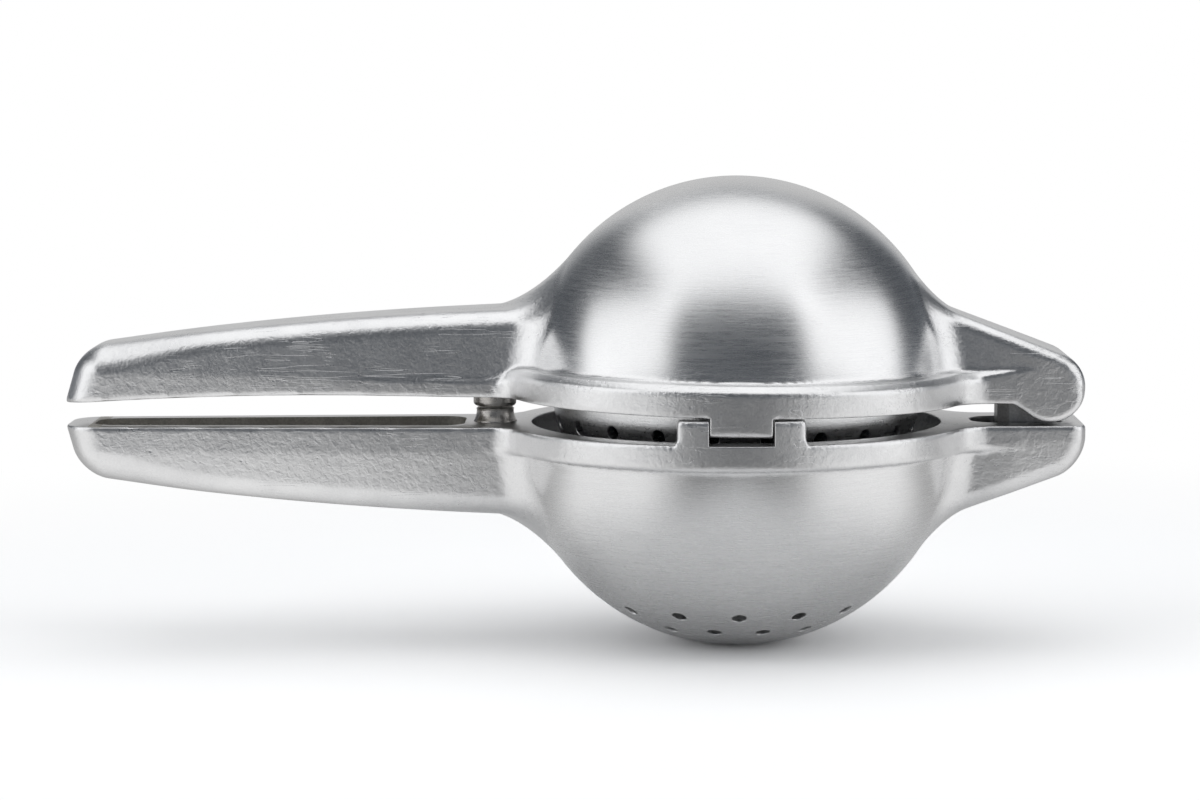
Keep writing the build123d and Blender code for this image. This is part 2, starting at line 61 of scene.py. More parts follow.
# Shared by both castings
FLANGE_RADIUS = 49.4
FLANGE_LUG_REACH = 59.5
FLANGE_DROP_SPAN = (44, 54)
REST_FLAT_RADIUS = 6.0
FLAT_EDGE_ROUND = 0.5
GROOVE_ROUND = 0.6
GROOVE_RISE = 1.5
GROOVE_END_SPAN = (47, 55)
LEAST_ROUND = 0.01
WALL = 3.5
HANDLE_REACH = 142.0
HANDLE_END_LEAN = math.radians(15.5)
HANDLE_ROOT_X = 57.0
HANDLE_ROOT_HALF_WIDTH = 13.7
HANDLE_END_HALF_WIDTH = 10.6
HANDLE_CROWN = 1.1
HANDLE_EDGE_ROUND = 4.5
HANDLE_TIP_SPARE = 3.0
HANDLE_CORNER_ROUND = 6.6
HANDLE_CORNER_SPAN = (112, 134)
HANDLE_BLEND = 6.0
HANDLE_TOP_BLEND = 10.5
HANDLE_BLEND_SPAN = (3, 12)
HANDLE_WEB_ROUND = 4.3
HANDLE_LEDGE = 0.4
HANDLE_LEDGE_FADE = 30.0
HANDLE_LEDGE_SPAN = (-0.3, 0.3)
ARCH_X = 75.0
LUG_HALF_WIDTH = 14.0
LUG_BLEND = 5.0
LUG_WEB_ROUND = 5.5
FACE_EDGE_ROUND = 0.6
CRISP_DEPTH = 0.03
FACE_SPARE = 0.12
CUT_MARGIN = 1.0

# Relief pocket in each handle
POCKET_SIDE_WALL = 4.3
POCKET_FLOOR_WALL = 4.2
POCKET_END_WALL = 5.7
POCKET_ROOT_X = 57.5
POCKET_ROUND = 2.5
POCKET_CORNER_ROUND = 5.0
POCKET_END_MARGIN = 0.1
POCKET_SIDE_MARGIN = 0.15
POCKET_FLOOR_MARGIN = 0.3

# Hinge
HINGE_X = 65.5
HINGE_HEIGHT = 7.8
FACE_GAP_AT_HINGE = 4.5
REST_OPEN_ANGLE = math.radians(0.9)
LOBE_RADIUS = 7.3
LOBE_RISE = 0.25
LOBE_EDGE_ROUND = 1.2
LOBE_EDGE_RISE = 3.0
NECK_ROUND = 2.5
NECK_RISE = 1.5
UPPER_LUG_SLOPE = math.radians(20.3)
UPPER_LUG_EDGE_ROUND = 2.6
LEDGE_INSET = 1.5
LEDGE_START_X = 46.0
LEDGE_CLIMB_X = 50.0
LEDGE_CLIMB = 0.1
LEDGE_RISE = 0.3
LEDGE_EXTRA_RISE = 0.6
LEDGE_SPAN = (-1.2, 0.4)
LOWER_LUG_REACH = 73.0
LOWER_LUG_ROOT_DEPTH = 17.5
LOWER_LUG_END_DEPTH = 8.8
LOWER_LUG_END_ROUND = 6.0
LOWER_LUG_EDGE_ROUND = 3.5
LOWER_LEDGE_INSET = 0.75
LOWER_LEDGE_SPAN = (3, 5.2)
LOWER_LEDGE_END_SPAN = (49, 58)
FORK_HALF_WIDTH = 6.1
KNUCKLE_ROOM = 4.85
NOSE_REACH = 10.75
NOSE_DROP = 1.95
HEEL_REACH = 1.8
SWEEP_ANGLE = math.radians(103.0)
PIN_RADIUS = 2.0
PIN_CLEARANCE = 0.05
PIN_FRONT = -10.5
SLOT_LEFT = 49.6
SLOT_RIGHT = 68.7
SLOT_HALF_WIDTH = 6.7
SLOT_DEPTH = 7.0
SLOT_NOSE_ROUND = 5.5
SLOT_HEEL_ROUND = 1.2
ANCHOR_PIN = (59.8, -3.8, 1.75)  # x, height over the rim and radius

# Press cup seat
CUP_RIM_RADIUS = 44.0
CUP_SEAT_DEPTH = 2.6

# Juice holes
JUICE_HOLE_RADIUS = 1.55
JUICE_HOLES_PER_RING = 14
OUTER_RING_ANGLE = math.radians(37.5)
INNER_RING_ANGLE = math.radians(28.5)
JUICE_HOLE_FLARE = 0.05

# Teeth and tabs
TOOTH_WIDTH = 6.4
TOOTH_HEIGHT = 5.1
TOOTH_DEPTH = 4.0
TAB_WIDTH = 12.5
TAB_DROP = 3.9
TAB_SIDE_CLEARANCE = 0.35
TOOTH_ROUND = 0.8
TAB_ROUND = 1.1
RIM_BLOCK_OVERLAP = 1.4

# Stop studs
STUD_X = 51.2
STUD_BORE_RADIUS = 2.5
STUD_BORE_DEPTH = 6.0
STUD_SHANK_CLEARANCE = 0.02
LOWER_STUD_RADIUS = 4.05
LOWER_STUD_HEIGHT = 3.0
LOWER_STUD_CHAMFER = 0.3
LOWER_STUD_BEAD = 0.45
LOWER_STUD_WAIST_STEP = 0.12
LOWER_STUD_FOOT_RADIUS = 4.6
LOWER_STUD_FOOT_LIP = 0.1
LOWER_STUD_FLARE_POWER = 2.2
UPPER_STUD_RADIUS = 4.55
UPPER_STUD_HEIGHT = 3.08
UPPER_STUD_END_ROUND = 0.9
UPPER_STUD_ROOT_STEP = 0.2
UPPER_STUD_ROOT_HEIGHT = 0.25
STUD_ARC_STEPS = 8

# Press cup
CUP_RADIUS = 39.3
CUP_WALL = 2.0
CUP_HEIGHT = 4.3
CUP_HOLE_RADIUS = 1.5
CUP_HOLE_COUNT = 21
CUP_HOLE_LATITUDE = math.radians(14.6)

# Tongue and pins
TONGUE_HALF_THICKNESS = 5.8
TONGUE_EDGE_ROUND = 0.4
KNUCKLE_RADIUS = 4.4
TONGUE_NOSE_REACH = 10.3
TONGUE_NOSE_CHAMFER = 2.3
TONGUE_NOSE_DROP = 2.4
PIN_BACK_RECESS = 0.6
PIN_CHAMFER = 0.3

# Shading: angles that stay sharp, and how near the ball's surface counts as brushed
SHARP_ANGLE = math.radians(32)
BEVEL_ANGLE = math.radians(40)
BALL_TOLERANCE = 0.3

# Camera, in metres and degrees
CAMERA_TARGET = (-0.0289, 0.0, 0.0518)
CAMERA_DISTANCE = 0.79
CAMERA_AZIMUTH = 0.7
CAMERA_ELEVATION = 6.0
CAMERA_ROLL = -0.24
CAMERA_LENS = 111.4
CAMERA_CLIP = (0.01, 50.0)

# Lamps and room, in metres. The levels are what the metal mirrors, where 1 is white
LAMP_RADIANCE = 1.1
LAMP_AIM_HEIGHT = 0.045
FRONT_LEVEL = 0.09
HORIZON_LEVEL = 0.17
HORIZON_SPAN = (0.0, 0.3)
BACKDROP_LEVEL = 0.6
BACKDROP_SIDE_SPAN = (0.82, 0.96)
BACKDROP_TOP_SPAN = (0.55, 0.8)
ROOM_TINT = (0.80, 0.88, 1.0)
WHITE = (1.0, 1.0, 1.0)

# Floor
FLOOR_HALF_SIZE = 12.0
FLOOR_COLOUR = (0.9, 0.9, 0.9, 1)
FLOOR_GAIN = 0.5
FLOOR_LIFT = 0.04
FLOOR_SEEN_SPAN = (0.14, 0.36)
FLOOR_MIRRORED_SPAN = (0.08, 0.22)
FLOOR_FRONT_LEVEL = 0.2
FLOOR_SIDE_LEVEL = 0.92
FLOOR_SIDE_SPAN = (0.3, 0.7)
FLOOR_BACK_LEVEL = 0.45
FLOOR_BACK_SPAN = (-0.03, 0.04)


@dataclass(frozen=True)
class Half:
    """Sizes that differ between the lower and the upper casting."""

    ball_radius: float
    ball_height: float
    flange_thickness: float
    flange_round: float
    handle_root_depth: float
    handle_end_depth: float
    handle_tip_round: float
    handle_droop: float
    handle_ledge_drop: float
    handle_ledge_end: float
    draft: float
    face_kept: float
    face_end: float


LOWER = Half(
    ball_radius=47.0, ball_height=0.85, flange_thickness=5.4, flange_round=1.2,
    handle_root_depth=18.5, handle_end_depth=10.4, handle_tip_round=5.5, handle_droop=0.0,
    handle_ledge_drop=0.0, handle_ledge_end=58.0, draft=0.065, face_kept=13.8, face_end=80.0,
)
UPPER = Half(
    ball_radius=45.3, ball_height=1.1, flange_thickness=6.5, flange_round=1.5,
    handle_root_depth=17.7, handle_end_depth=8.3, handle_tip_round=5.0, handle_droop=2.9,
    handle_ledge_drop=2.9, handle_ledge_end=90.0, draft=0.08, face_kept=8.2, face_end=54.0,
)

LOBE_ABOVE_FACE = HINGE_HEIGHT - FACE_GAP_AT_HINGE + LOBE_RISE
TEETH_GAP = TAB_WIDTH / 2 + TAB_SIDE_CLEARANCE
TEETH_HALF_WIDTH = TEETH_GAP + TOOTH_WIDTH
RIM_HEIGHT = LOWER.ball_height + math.sqrt(LOWER.ball_radius**2 - REST_FLAT_RADIUS**2)


# --- Places of the two halves in the scene ---


def lower_place():
    """Turns the lower half over and lifts it on to its rest flat. From millimetres to metres."""
    scale = Matrix.Scale(MM, 4)
    return scale @ Matrix.Translation((0, 0, RIM_HEIGHT)) @ Matrix.Rotation(math.pi, 4, "X")


def upper_place():
    """Sets the upper half over the lower one, opened by the rest angle about the hinge."""
    hinge = Vector((HINGE_X, 0, HINGE_HEIGHT + RIM_HEIGHT))
    lift = Matrix.Translation((0, 0, FACE_GAP_AT_HINGE + RIM_HEIGHT))
    opened = Matrix.Rotation(REST_OPEN_ANGLE, 4, "Y")
    turn = Matrix.Translation(hinge) @ opened @ Matrix.Translation(-hinge)
    return Matrix.Scale(MM, 4) @ turn @ lift


def rim_place():
    """Places what is measured from the lower top face upwards."""
    return Matrix.Scale(MM, 4) @ Matrix.Translation((0, 0, RIM_HEIGHT))


# --- Distance fields: negative inside, in millimetres ---


def round_union(a, b, radius):
    """Union of two fields with a fillet of this radius where they meet."""
    corner = np.hypot(np.maximum(radius - a, 0), np.maximum(radius - b, 0))
    return np.maximum(radius, np.minimum(a, b)) - corner


def round_cut(a, b, radius):
    """What lies in both fields, with the edge between them rounded to this radius."""
    corner = np.hypot(np.maximum(radius + a, 0), np.maximum(radius + b, 0))
    return np.minimum(-radius, np.maximum(a, b)) + corner


def smooth_step(value, low, high):
    """0 below low and 1 above high, with a soft start and end."""
    share = np.clip((value - low) / (high - low), 0, 1)
    return share * share * (3 - 2 * share)


def handle_share(x):
    """0 at the handle's root and 1 at its tip."""
    return (-x - HANDLE_ROOT_X) / (HANDLE_REACH - HANDLE_ROOT_X)


def handle_half_width(x):
    growth = HANDLE_END_HALF_WIDTH - HANDLE_ROOT_HALF_WIDTH
    return HANDLE_ROOT_HALF_WIDTH + handle_share(x) * growth


def handle_back(half, x):
    """Height of the handle's crowned back, run on straight towards the ball."""
    share = handle_share(x)
    fall = half.handle_end_depth - half.handle_root_depth
    crowned = half.handle_root_depth + fall * share + 4 * HANDLE_CROWN * share * (1 - share)
    straight = half.handle_root_depth + share * (fall + 4 * HANDLE_CROWN)
    return np.where(share > 0, crowned, straight)


def handle_face(half, x):
    """Height of the handle's inner face, which sags towards the tip of the upper handle."""
    share = np.clip((-x - ARCH_X) / (HANDLE_REACH - ARCH_X), 0, None)
    return -half.handle_droop * share**2


def flange_top(half, x):
    """Height of the flange's edge, which drops where it runs out along the upper handle."""
    return half.flange_thickness - half.handle_ledge_drop * smooth_step(-x, *FLANGE_DROP_SPAN)


def handle_side(half, x, y, z):
    """Side of the handle: drafted, and stepped in above a ledge that fades towards the tip."""
    ledge = flange_top(half, x)
    end = half.handle_ledge_end
    fade = 1 - smooth_step(-x, end - HANDLE_LEDGE_FADE, end)
    step = HANDLE_LEDGE * fade * smooth_step(z - ledge, *HANDLE_LEDGE_SPAN)
    return np.abs(y) - handle_half_width(x) + step + half.draft * np.maximum(z - ledge, 0)


def handle_field(half, x, y, z):
    """Whole handle, with a leaning end and corners that get rounder at the tip."""
    back = z - handle_back(half, x)
    lean = HANDLE_END_LEAN
    beyond_end = (-x - HANDLE_REACH) * math.cos(lean) + (z + half.handle_droop) * math.sin(lean)
    length = round_cut(np.maximum(back, x), beyond_end, half.handle_tip_round)
    near_tip = smooth_step(-x, *HANDLE_CORNER_SPAN)
    corner = HANDLE_EDGE_ROUND + (HANDLE_CORNER_ROUND - HANDLE_EDGE_ROUND) * near_tip
    return round_cut(length, handle_side(half, x, y, z), corner)


def slope_field(x, z, through_x, through_z, angle):
    """Distance above a line that falls towards +X."""
    return (x - through_x) * math.sin(angle) + (z - through_z) * math.cos(angle)


def lower_lug_field(x, y, z):
    """Wedge of the lower lug, with a faint ledge where the flange runs out along it."""
    fall = LOWER_LUG_ROOT_DEPTH - LOWER_LUG_END_DEPTH
    angle = math.atan2(fall, LOWER_LUG_REACH - FLANGE_RADIUS)
    back = slope_field(x, z, LOWER_LUG_REACH, LOWER_LUG_END_DEPTH, angle)
    wedge = round_cut(np.maximum(back, -x), x - LOWER_LUG_REACH, LOWER_LUG_END_ROUND)
    inset = LOWER_LEDGE_INSET * (1 - smooth_step(x, *LOWER_LEDGE_END_SPAN))
    side = np.abs(y) - LUG_HALF_WIDTH + inset * smooth_step(z, *LOWER_LEDGE_SPAN)
    drafted = side + LOWER.draft * np.maximum(z - LOWER_LEDGE_SPAN[0], 0)
    return round_cut(wedge, drafted, LOWER_LUG_EDGE_ROUND)


def upper_web_profile(x, z):
    """Wedge from the ball to the plane through the pin that the lobe takes over from."""
    fall, run = math.sin(UPPER_LUG_SLOPE), math.cos(UPPER_LUG_SLOPE)
    touch_x = HINGE_X + LOBE_RADIUS * fall
    touch_z = LOBE_ABOVE_FACE + LOBE_RADIUS * run
    back = slope_field(x, z, touch_x, touch_z, UPPER_LUG_SLOPE)
    along = (x - HINGE_X) * run - (z - LOBE_ABOVE_FACE) * fall
    return np.maximum(np.maximum(back, along), -x)


def upper_web_side(x, y, z):
    """The web steps in above the flange and runs out to full width at the lobe."""
    fade = 1 - smooth_step(x, LEDGE_START_X, HINGE_X - 1)
    ledge = UPPER.flange_thickness + LEDGE_CLIMB * np.maximum(x - LEDGE_CLIMB_X, 0)
    rise = LEDGE_RISE + LEDGE_EXTRA_RISE * fade
    inset = LEDGE_INSET * fade * smooth_step((z - ledge) / rise, *LEDGE_SPAN)
    return np.abs(y) - LUG_HALF_WIDTH + inset + UPPER.draft * fade * np.maximum(z - ledge, 0)


def upper_lug_field(x, y, z):
    """Lug with its lobe, flat below except where the lobe hangs lower."""
    web = np.maximum(upper_web_profile(x, z), -z)
    lobe = np.hypot(x - HINGE_X, z - LOBE_ABOVE_FACE) - LOBE_RADIUS
    neck = NECK_ROUND * np.clip((NECK_RISE - z) / NECK_RISE, 0, 1) + LEAST_ROUND
    profile = round_union(web, lobe, neck)
    growth = UPPER_LUG_EDGE_ROUND - LOBE_EDGE_ROUND
    edge = LOBE_EDGE_ROUND + growth * np.clip(z / LOBE_EDGE_RISE, 0, 1)
    return round_cut(profile, upper_web_side(x, y, z), edge)


def flange_field(half, x, y, z):
    """Flange disc that runs out into the handle and the lug by rounded corners."""
    disc = np.hypot(x, y) - FLANGE_RADIUS
    handle_length = np.maximum(x, -x - FLANGE_RADIUS - HANDLE_WEB_ROUND)
    handle = np.maximum(np.abs(y) - handle_half_width(x), handle_length)
    lug = np.maximum(np.abs(y) - LUG_HALF_WIDTH, np.maximum(-x, x - FLANGE_LUG_REACH))
    plan = round_union(disc, handle, HANDLE_WEB_ROUND * (x < 0) + LEAST_ROUND)
    plan = round_union(plan, lug, LUG_WEB_ROUND * (x > 0) + LEAST_ROUND)
    top = z - flange_top(half, x)
    if half is LOWER:
        return round_cut(plan, top, half.flange_round)
    chamfer = (plan + top + half.flange_round) * math.sqrt(0.5)
    return np.maximum(np.maximum(plan, top), chamfer)


def ball_surface(half, x, y, z):
    """Distance from the outer ball of a half."""
    return np.sqrt(x**2 + y**2 + (z - half.ball_height) ** 2) - half.ball_radius


def casting_field(half, x, y, z):
    """Whole outside of one casting, without its hollow, pocket and machined cuts."""
    ball = ball_surface(half, x, y, z)
    if half is LOWER:
        ball = round_cut(ball, z - RIM_HEIGHT, FLAT_EDGE_ROUND)
        lug = lower_lug_field(x, y, z)
    else:
        lug = round_cut(upper_web_profile(x, z), upper_web_side(x, y, z), UPPER_LUG_EDGE_ROUND)
    beside = smooth_step(np.abs(y), *HANDLE_BLEND_SPAN)
    blend = HANDLE_TOP_BLEND + (HANDLE_BLEND - HANDLE_TOP_BLEND) * beside
    core = round_union(ball, handle_field(half, x, y, z), blend)
    core = round_union(core, lug, LUG_BLEND)
    near_ball = 1 - smooth_step(np.abs(x), *GROOVE_END_SPAN)
    under_edge = smooth_step(z, half.flange_thickness - GROOVE_RISE, half.flange_thickness)
    groove = GROOVE_ROUND * under_edge * near_ball + LEAST_ROUND
    body = round_union(core, flange_field(half, x, y, z), groove)
    past_teeth = np.abs(x) > half.face_kept + GRID_STEP
    spare = FACE_SPARE * (past_teeth & (x < half.face_end - GRID_STEP))
    body = round_cut(body, handle_face(half, x) - spare - z, FACE_EDGE_ROUND)
    if half is UPPER:
        body = np.minimum(body, upper_lug_field(x, y, z))
        tab = rim_block_field(TAB_WIDTH / 2 + TOOTH_ROUND, TAB_DROP, TAB_ROUND, x, y, z)
        return np.minimum(body, tab)
    teeth = rim_block_field(TEETH_HALF_WIDTH, TOOTH_HEIGHT, TOOTH_ROUND, x, y, z)
    return np.minimum(body, np.minimum(teeth, teeth_root_field(x, y, z)))


def rim_ring_field(x, y):
    """Ring under the flange's outer edge that the teeth and tabs are cut from."""
    out = np.hypot(x, y)
    return np.maximum(out - FLANGE_RADIUS, FLANGE_RADIUS - TOOTH_DEPTH - out)


def rim_block_field(half_width, height, edge_round, x, y, z):
    """Block that hangs from the rim at the front and the back, flush with the flange."""
    plan = round_cut(rim_ring_field(x, y), np.abs(x) - half_width, TOOTH_ROUND)
    return np.maximum(round_cut(plan, -z - height, edge_round), z - RIM_BLOCK_OVERLAP)


def teeth_root_field(x, y, z):
    """Small fillet between the outer sides of the teeth and the mouth face."""
    beside = np.abs(x) - TEETH_HALF_WIDTH - TOOTH_ROUND
    below = -z - TOOTH_ROUND
    hollow_arc = TOOTH_ROUND - np.hypot(beside, below)
    fillet = np.maximum(np.maximum(beside, below), hollow_arc)
    return np.maximum(np.maximum(fillet, rim_ring_field(x, y)), z - RIM_BLOCK_OVERLAP)


def pocket_field(half, x, y, z):
    """Relief pocket of a handle, open through its inner face."""
    side = np.abs(y) - handle_half_width(x) + POCKET_SIDE_WALL
    middle = -(HANDLE_REACH - POCKET_END_WALL + POCKET_ROOT_X) / 2
    half_length = (HANDLE_REACH - POCKET_END_WALL - POCKET_ROOT_X) / 2
    plan = round_cut(side, np.abs(x - middle) - half_length, POCKET_CORNER_ROUND)
    floor = z - handle_back(half, x) + POCKET_FLOOR_WALL
    pocket = round_cut(plan, floor, POCKET_ROUND)
    return np.maximum(pocket, -z - 3 * GRID_STEP - half.handle_droop)


# --- Meshes ---


def field_mesh(name, field, low, high):
    """Mesh of a field's zero surface, sampled on a grid of GRID_STEP, in millimetres."""
    low = np.array(low) - 2 * GRID_STEP
    counts = np.ceil((np.array(high) + 2 * GRID_STEP - low) / GRID_STEP).astype(int) + 1
    axes = [low[i] + GRID_STEP * np.arange(counts[i]) for i in range(3)]
    x = axes[0][:, None, None]
    y = axes[1][None, :, None]
    z = axes[2][None, None, :]
    values = np.broadcast_to(field(x, y, z), counts).astype(np.float32)
    grid = openvdb.FloatGrid(background=3 * GRID_STEP)
    grid.copyFromArray(np.ascontiguousarray(values))
    points, quads = grid.convertToQuads(isovalue=0.0)
    mesh = bpy.data.meshes.new(name)
    mesh.from_pydata((points * GRID_STEP + low).tolist(), [], quads.tolist())
    return mesh


def bmesh_to_mesh(name, bm):
    bmesh.ops.recalc_face_normals(bm, faces=bm.faces)
    mesh = bpy.data.meshes.new(name)
    bm.to_mesh(mesh)
    bm.free()
    return mesh


def swept(name, first, last):
    """Closed body between two outlines with the same number of corners."""
    bm = bmesh.new()
    one = [bm.verts.new(point) for point in first]
    two = [bm.verts.new(point) for point in last]
    bm.faces.new(one)
    bm.faces.new(two[::-1])
    for i in range(len(one)):
        j = (i + 1) % len(one)
        bm.faces.new((one[i], two[i], two[j], one[j]))
    return bmesh_to_mesh(name, bm)


def prism(name, outline, low_y, high_y):
    """Closed prism along Y over an outline in X and Z."""
    return swept(name, [(x, low_y, z) for x, z in outline], [(x, high_y, z) for x, z in outline])


def column(name, outline, low_z, high_z):
    """Closed prism along Z over an outline in X and Y."""
    return swept(name, [(x, y, low_z) for x, y in outline], [(x, y, high_z) for x, y in outline])


def lathe(name, profile, steps=LATHE_STEPS):
    """Closed body turned about Z. The profile runs from the axis back to the axis."""
    bm = bmesh.new()
    rings = []
    for radius, z in profile:
        if radius == 0:
            rings.append([bm.verts.new((0, 0, z))])
            continue
        rings.append([bm.verts.new((x, y, z)) for x, y in circle(0, 0, radius, steps)])
    for one, two in zip(rings, rings[1:]):
        for i in range(steps):
            j = (i + 1) % steps
            corners = [one[i % len(one)], one[j % len(one)], two[j % len(two)], two[i % len(two)]]
            bm.faces.new(list(dict.fromkeys(corners)))
    return bmesh_to_mesh(name, bm)


def arc(centre, radius, start, stop, steps):
    """Points on an arc, ends included."""
    angles = [start + (stop - start) * i / steps for i in range(steps + 1)]
    return [(centre[0] + radius * math.cos(a), centre[1] + radius * math.sin(a)) for a in angles]


def circle(x, y, radius, steps):
    """Points round a full circle, each once."""
    return arc((x, y), radius, 0, 2 * math.pi, steps)[:-1]


def rounded_rectangle(left, right, half_width, left_round, right_round, steps=12):
    """Outline in X and Y with its own corner radius at each end."""
    quarter = math.pi / 2
    corners = (
        (right - right_round, half_width - right_round, right_round, 0),
        (left + left_round, half_width - left_round, left_round, quarter),
        (left + left_round, left_round - half_width, left_round, 2 * quarter),
        (right - right_round, right_round - half_width, right_round, 3 * quarter),
    )
    points = []
    for x, y, radius, start in corners:
        points += arc((x, y), radius, start, start + quarter, steps)
    return points


def new_object(name, data):
    obj = bpy.data.objects.new(name, data)
    bpy.context.scene.collection.objects.link(obj)
    return obj


def cut_out(obj, meshes):
    """Cuts meshes out of obj, one after the other."""
    for mesh in meshes:
        tool = new_object("tool", mesh)
        modifier = obj.modifiers.new("cut", "BOOLEAN")
        modifier.operation = "DIFFERENCE"
        modifier.solver = "MANIFOLD"
        modifier.object = tool
        bpy.context.view_layer.update()
        evaluated = obj.evaluated_get(bpy.context.evaluated_depsgraph_get())
        result = bpy.data.meshes.new_from_object(evaluated)
        result.materials.clear()
        obj.modifiers.clear()
        obj.data = result
        bpy.data.objects.remove(tool)
    return obj


def joined(name, meshes):
    """One mesh that holds several separate closed bodies."""
    bm = bmesh.new()
    for mesh in meshes:
        bm.from_mesh(mesh)
    return bmesh_to_mesh(name, bm)


# --- Cutters and small forms, each in the coordinates of its half ---


def hollow(half):
    """Room inside the ball, down through the mouth and the cup's seat."""
    radius = half.ball_radius - WALL
    seat = CUP_SEAT_DEPTH if half is UPPER else 0.0
    start_angle = math.asin((seat - half.ball_height) / radius)
    wall = arc((0, half.ball_height), radius, math.pi / 2, start_angle, BALL_STEPS)[1:]
    profile = [(0, half.ball_height + radius), *wall]
    if half is UPPER:
        profile.append((CUP_RIM_RADIUS, seat))
    below = -2 * CUT_MARGIN
    profile += [(profile[-1][0], below), (0, below)]
    return lathe("hollow", profile)


def pocket(half):
    high = (-POCKET_ROOT_X, HANDLE_ROOT_HALF_WIDTH, half.handle_root_depth)
    low = (-HANDLE_REACH, -HANDLE_ROOT_HALF_WIDTH, -half.handle_droop - 4 * GRID_STEP)
    return field_mesh("pocket", lambda x, y, z: pocket_field(half, x, y, z), low, high)


def stud_bore():
    outline = circle(-STUD_X, 0, STUD_BORE_RADIUS, STUD_BORE_STEPS)
    return column("stud_bore", outline, -CUT_MARGIN, STUD_BORE_DEPTH)


def cross_bore(x, z, radius, front=PIN_FRONT):
    """Bore along Y from its front end to past the back of the lugs."""
    return prism("bore", circle(x, z, radius, BORE_STEPS), front, 2 * LUG_HALF_WIDTH)


def tongue_slot():
    """Slot in the lower lug, in rim coordinates."""
    ends = (SLOT_NOSE_ROUND, SLOT_HEEL_ROUND)
    outline = rounded_rectangle(SLOT_LEFT, SLOT_RIGHT, SLOT_HALF_WIDTH, *ends)
    return column("slot", outline, -SLOT_DEPTH, SLOT_DEPTH)


def tangent_angle(x, z, radius, side):
    """Direction from the pin to where a line from (x, z) touches the circle round it."""
    return math.atan2(z, x) - side * math.acos(radius / math.hypot(x, z))


def knuckle_arc(radius, nose_drop, sweep):
    """Arc over the pin from the tongue's nose to its heel and on by a sweep, and its last angle."""
    nose = tangent_angle(-NOSE_REACH, -nose_drop, radius, 1) % (2 * math.pi)
    last = tangent_angle(HEEL_REACH, -HINGE_HEIGHT, radius, -1) + sweep
    return arc((HINGE_X, HINGE_HEIGHT), radius, nose, last, KNUCKLE_STEPS), last


def fork_room():
    """Room between the upper cheeks for the tongue over the whole swing, in rim coordinates."""
    ceiling, open_angle = knuckle_arc(KNUCKLE_ROOM, NOSE_DROP, SWEEP_ANGLE)
    reach = 3 * LOBE_RADIUS
    exit_x = ceiling[-1][0] + reach * math.sin(open_angle)
    exit_z = ceiling[-1][1] - reach * math.cos(open_angle)
    outline = [
        (HINGE_X - NOSE_REACH, -reach),
        (HINGE_X - NOSE_REACH, HINGE_HEIGHT - NOSE_DROP),
        *ceiling,
        (exit_x, exit_z),
        (exit_x, -reach),
    ]
    return prism("fork_room", outline, -FORK_HALF_WIDTH, FORK_HALF_WIDTH)


def drills_round(centre_height, places, drill):
    """Copies of an upright drill turned about the ball's centre to azimuths and polar angles."""
    drills = []
    for azimuth, polar in places:
        mesh = drill()
        turn = Matrix.Rotation(azimuth, 4, "Z") @ Matrix.Rotation(polar, 4, "Y")
        drills.append(moved(mesh, Matrix.Translation((0, 0, centre_height)) @ turn))
    return joined("drills", drills)


def juice_drills():
    """Two staggered rings of radial drills through the bowl, in the lower half's coordinates."""
    pitch = 2 * math.pi / JUICE_HOLES_PER_RING
    flare, skin = JUICE_HOLE_FLARE, LOWER.ball_radius
    profile = [
        (0, skin - 2 * WALL),
        (JUICE_HOLE_RADIUS, skin - 2 * WALL),
        (JUICE_HOLE_RADIUS, skin - flare),
        (JUICE_HOLE_RADIUS + 2 * flare, skin + flare),
        (0, skin + flare),
    ]
    places = [
        (math.pi / 2 + shift + index * pitch, polar)
        for polar, shift in ((OUTER_RING_ANGLE, 0), (INNER_RING_ANGLE, pitch / 2))
        for index in range(JUICE_HOLES_PER_RING)
    ]
    return drills_round(LOWER.ball_height, places, lambda: lathe("drill", profile, JUICE_HOLE_STEPS))


def box(low, high):
    """Closed box between two corners."""
    corners = ((low[0], low[1]), (high[0], low[1]), (high[0], high[1]), (low[0], high[1]))
    return column("box", corners, low[2], high[2])


def rim_boxes(name, spans, depth):
    """Boxes at the front and back rim, over spans of X, from this depth to just past the face."""
    near, far = FLANGE_RADIUS - TOOTH_DEPTH - CUT_MARGIN, FLANGE_RADIUS + CUT_MARGIN
    boxes = [
        box((low_x, low_y, -depth), (high_x, high_y, CRISP_DEPTH))
        for low_x, high_x in spans
        for low_y, high_y in ((-far, -near), (near, far))
    ]
    return joined(name, boxes)


def teeth_gaps():
    """Gap between the two teeth at each side, cut crisply down to the mouth face."""
    return rim_boxes("teeth_gaps", [(-TEETH_GAP, TEETH_GAP)], 2 * TOOTH_HEIGHT)


def tab_sides():
    """What is cut off beside each tab, so that its sides and corners are crisp."""
    inner, outer = TAB_WIDTH / 2, TAB_WIDTH / 2 + 2 * TOOTH_ROUND
    return rim_boxes("tab_sides", [(-outer, -inner), (inner, outer)], 2 * TAB_DROP)


def face_cut(half):
    """What is machined off below the mouth face, left and right of the teeth or the tab."""
    low = -4 * HANDLE_TIP_SPARE
    beside = FLANGE_RADIUS + CUT_MARGIN
    left = -HANDLE_REACH - HANDLE_TIP_SPARE
    length = -half.face_kept - left
    xs = [left + length * i / FACE_STEPS for i in range(FACE_STEPS + 1)]
    face = [(x, float(handle_face(half, x))) for x in xs]
    outline = [(left, low), *face, (-half.face_kept, low)]
    handle_side_cut = prism("face", outline, -beside, beside)
    hinge_side_cut = box((half.face_kept, -beside, low), (half.face_end, beside, 0))
    return joined("face_cut", [handle_side_cut, hinge_side_cut])


def moved(mesh, matrix):
    mesh.transform(matrix)
    return mesh


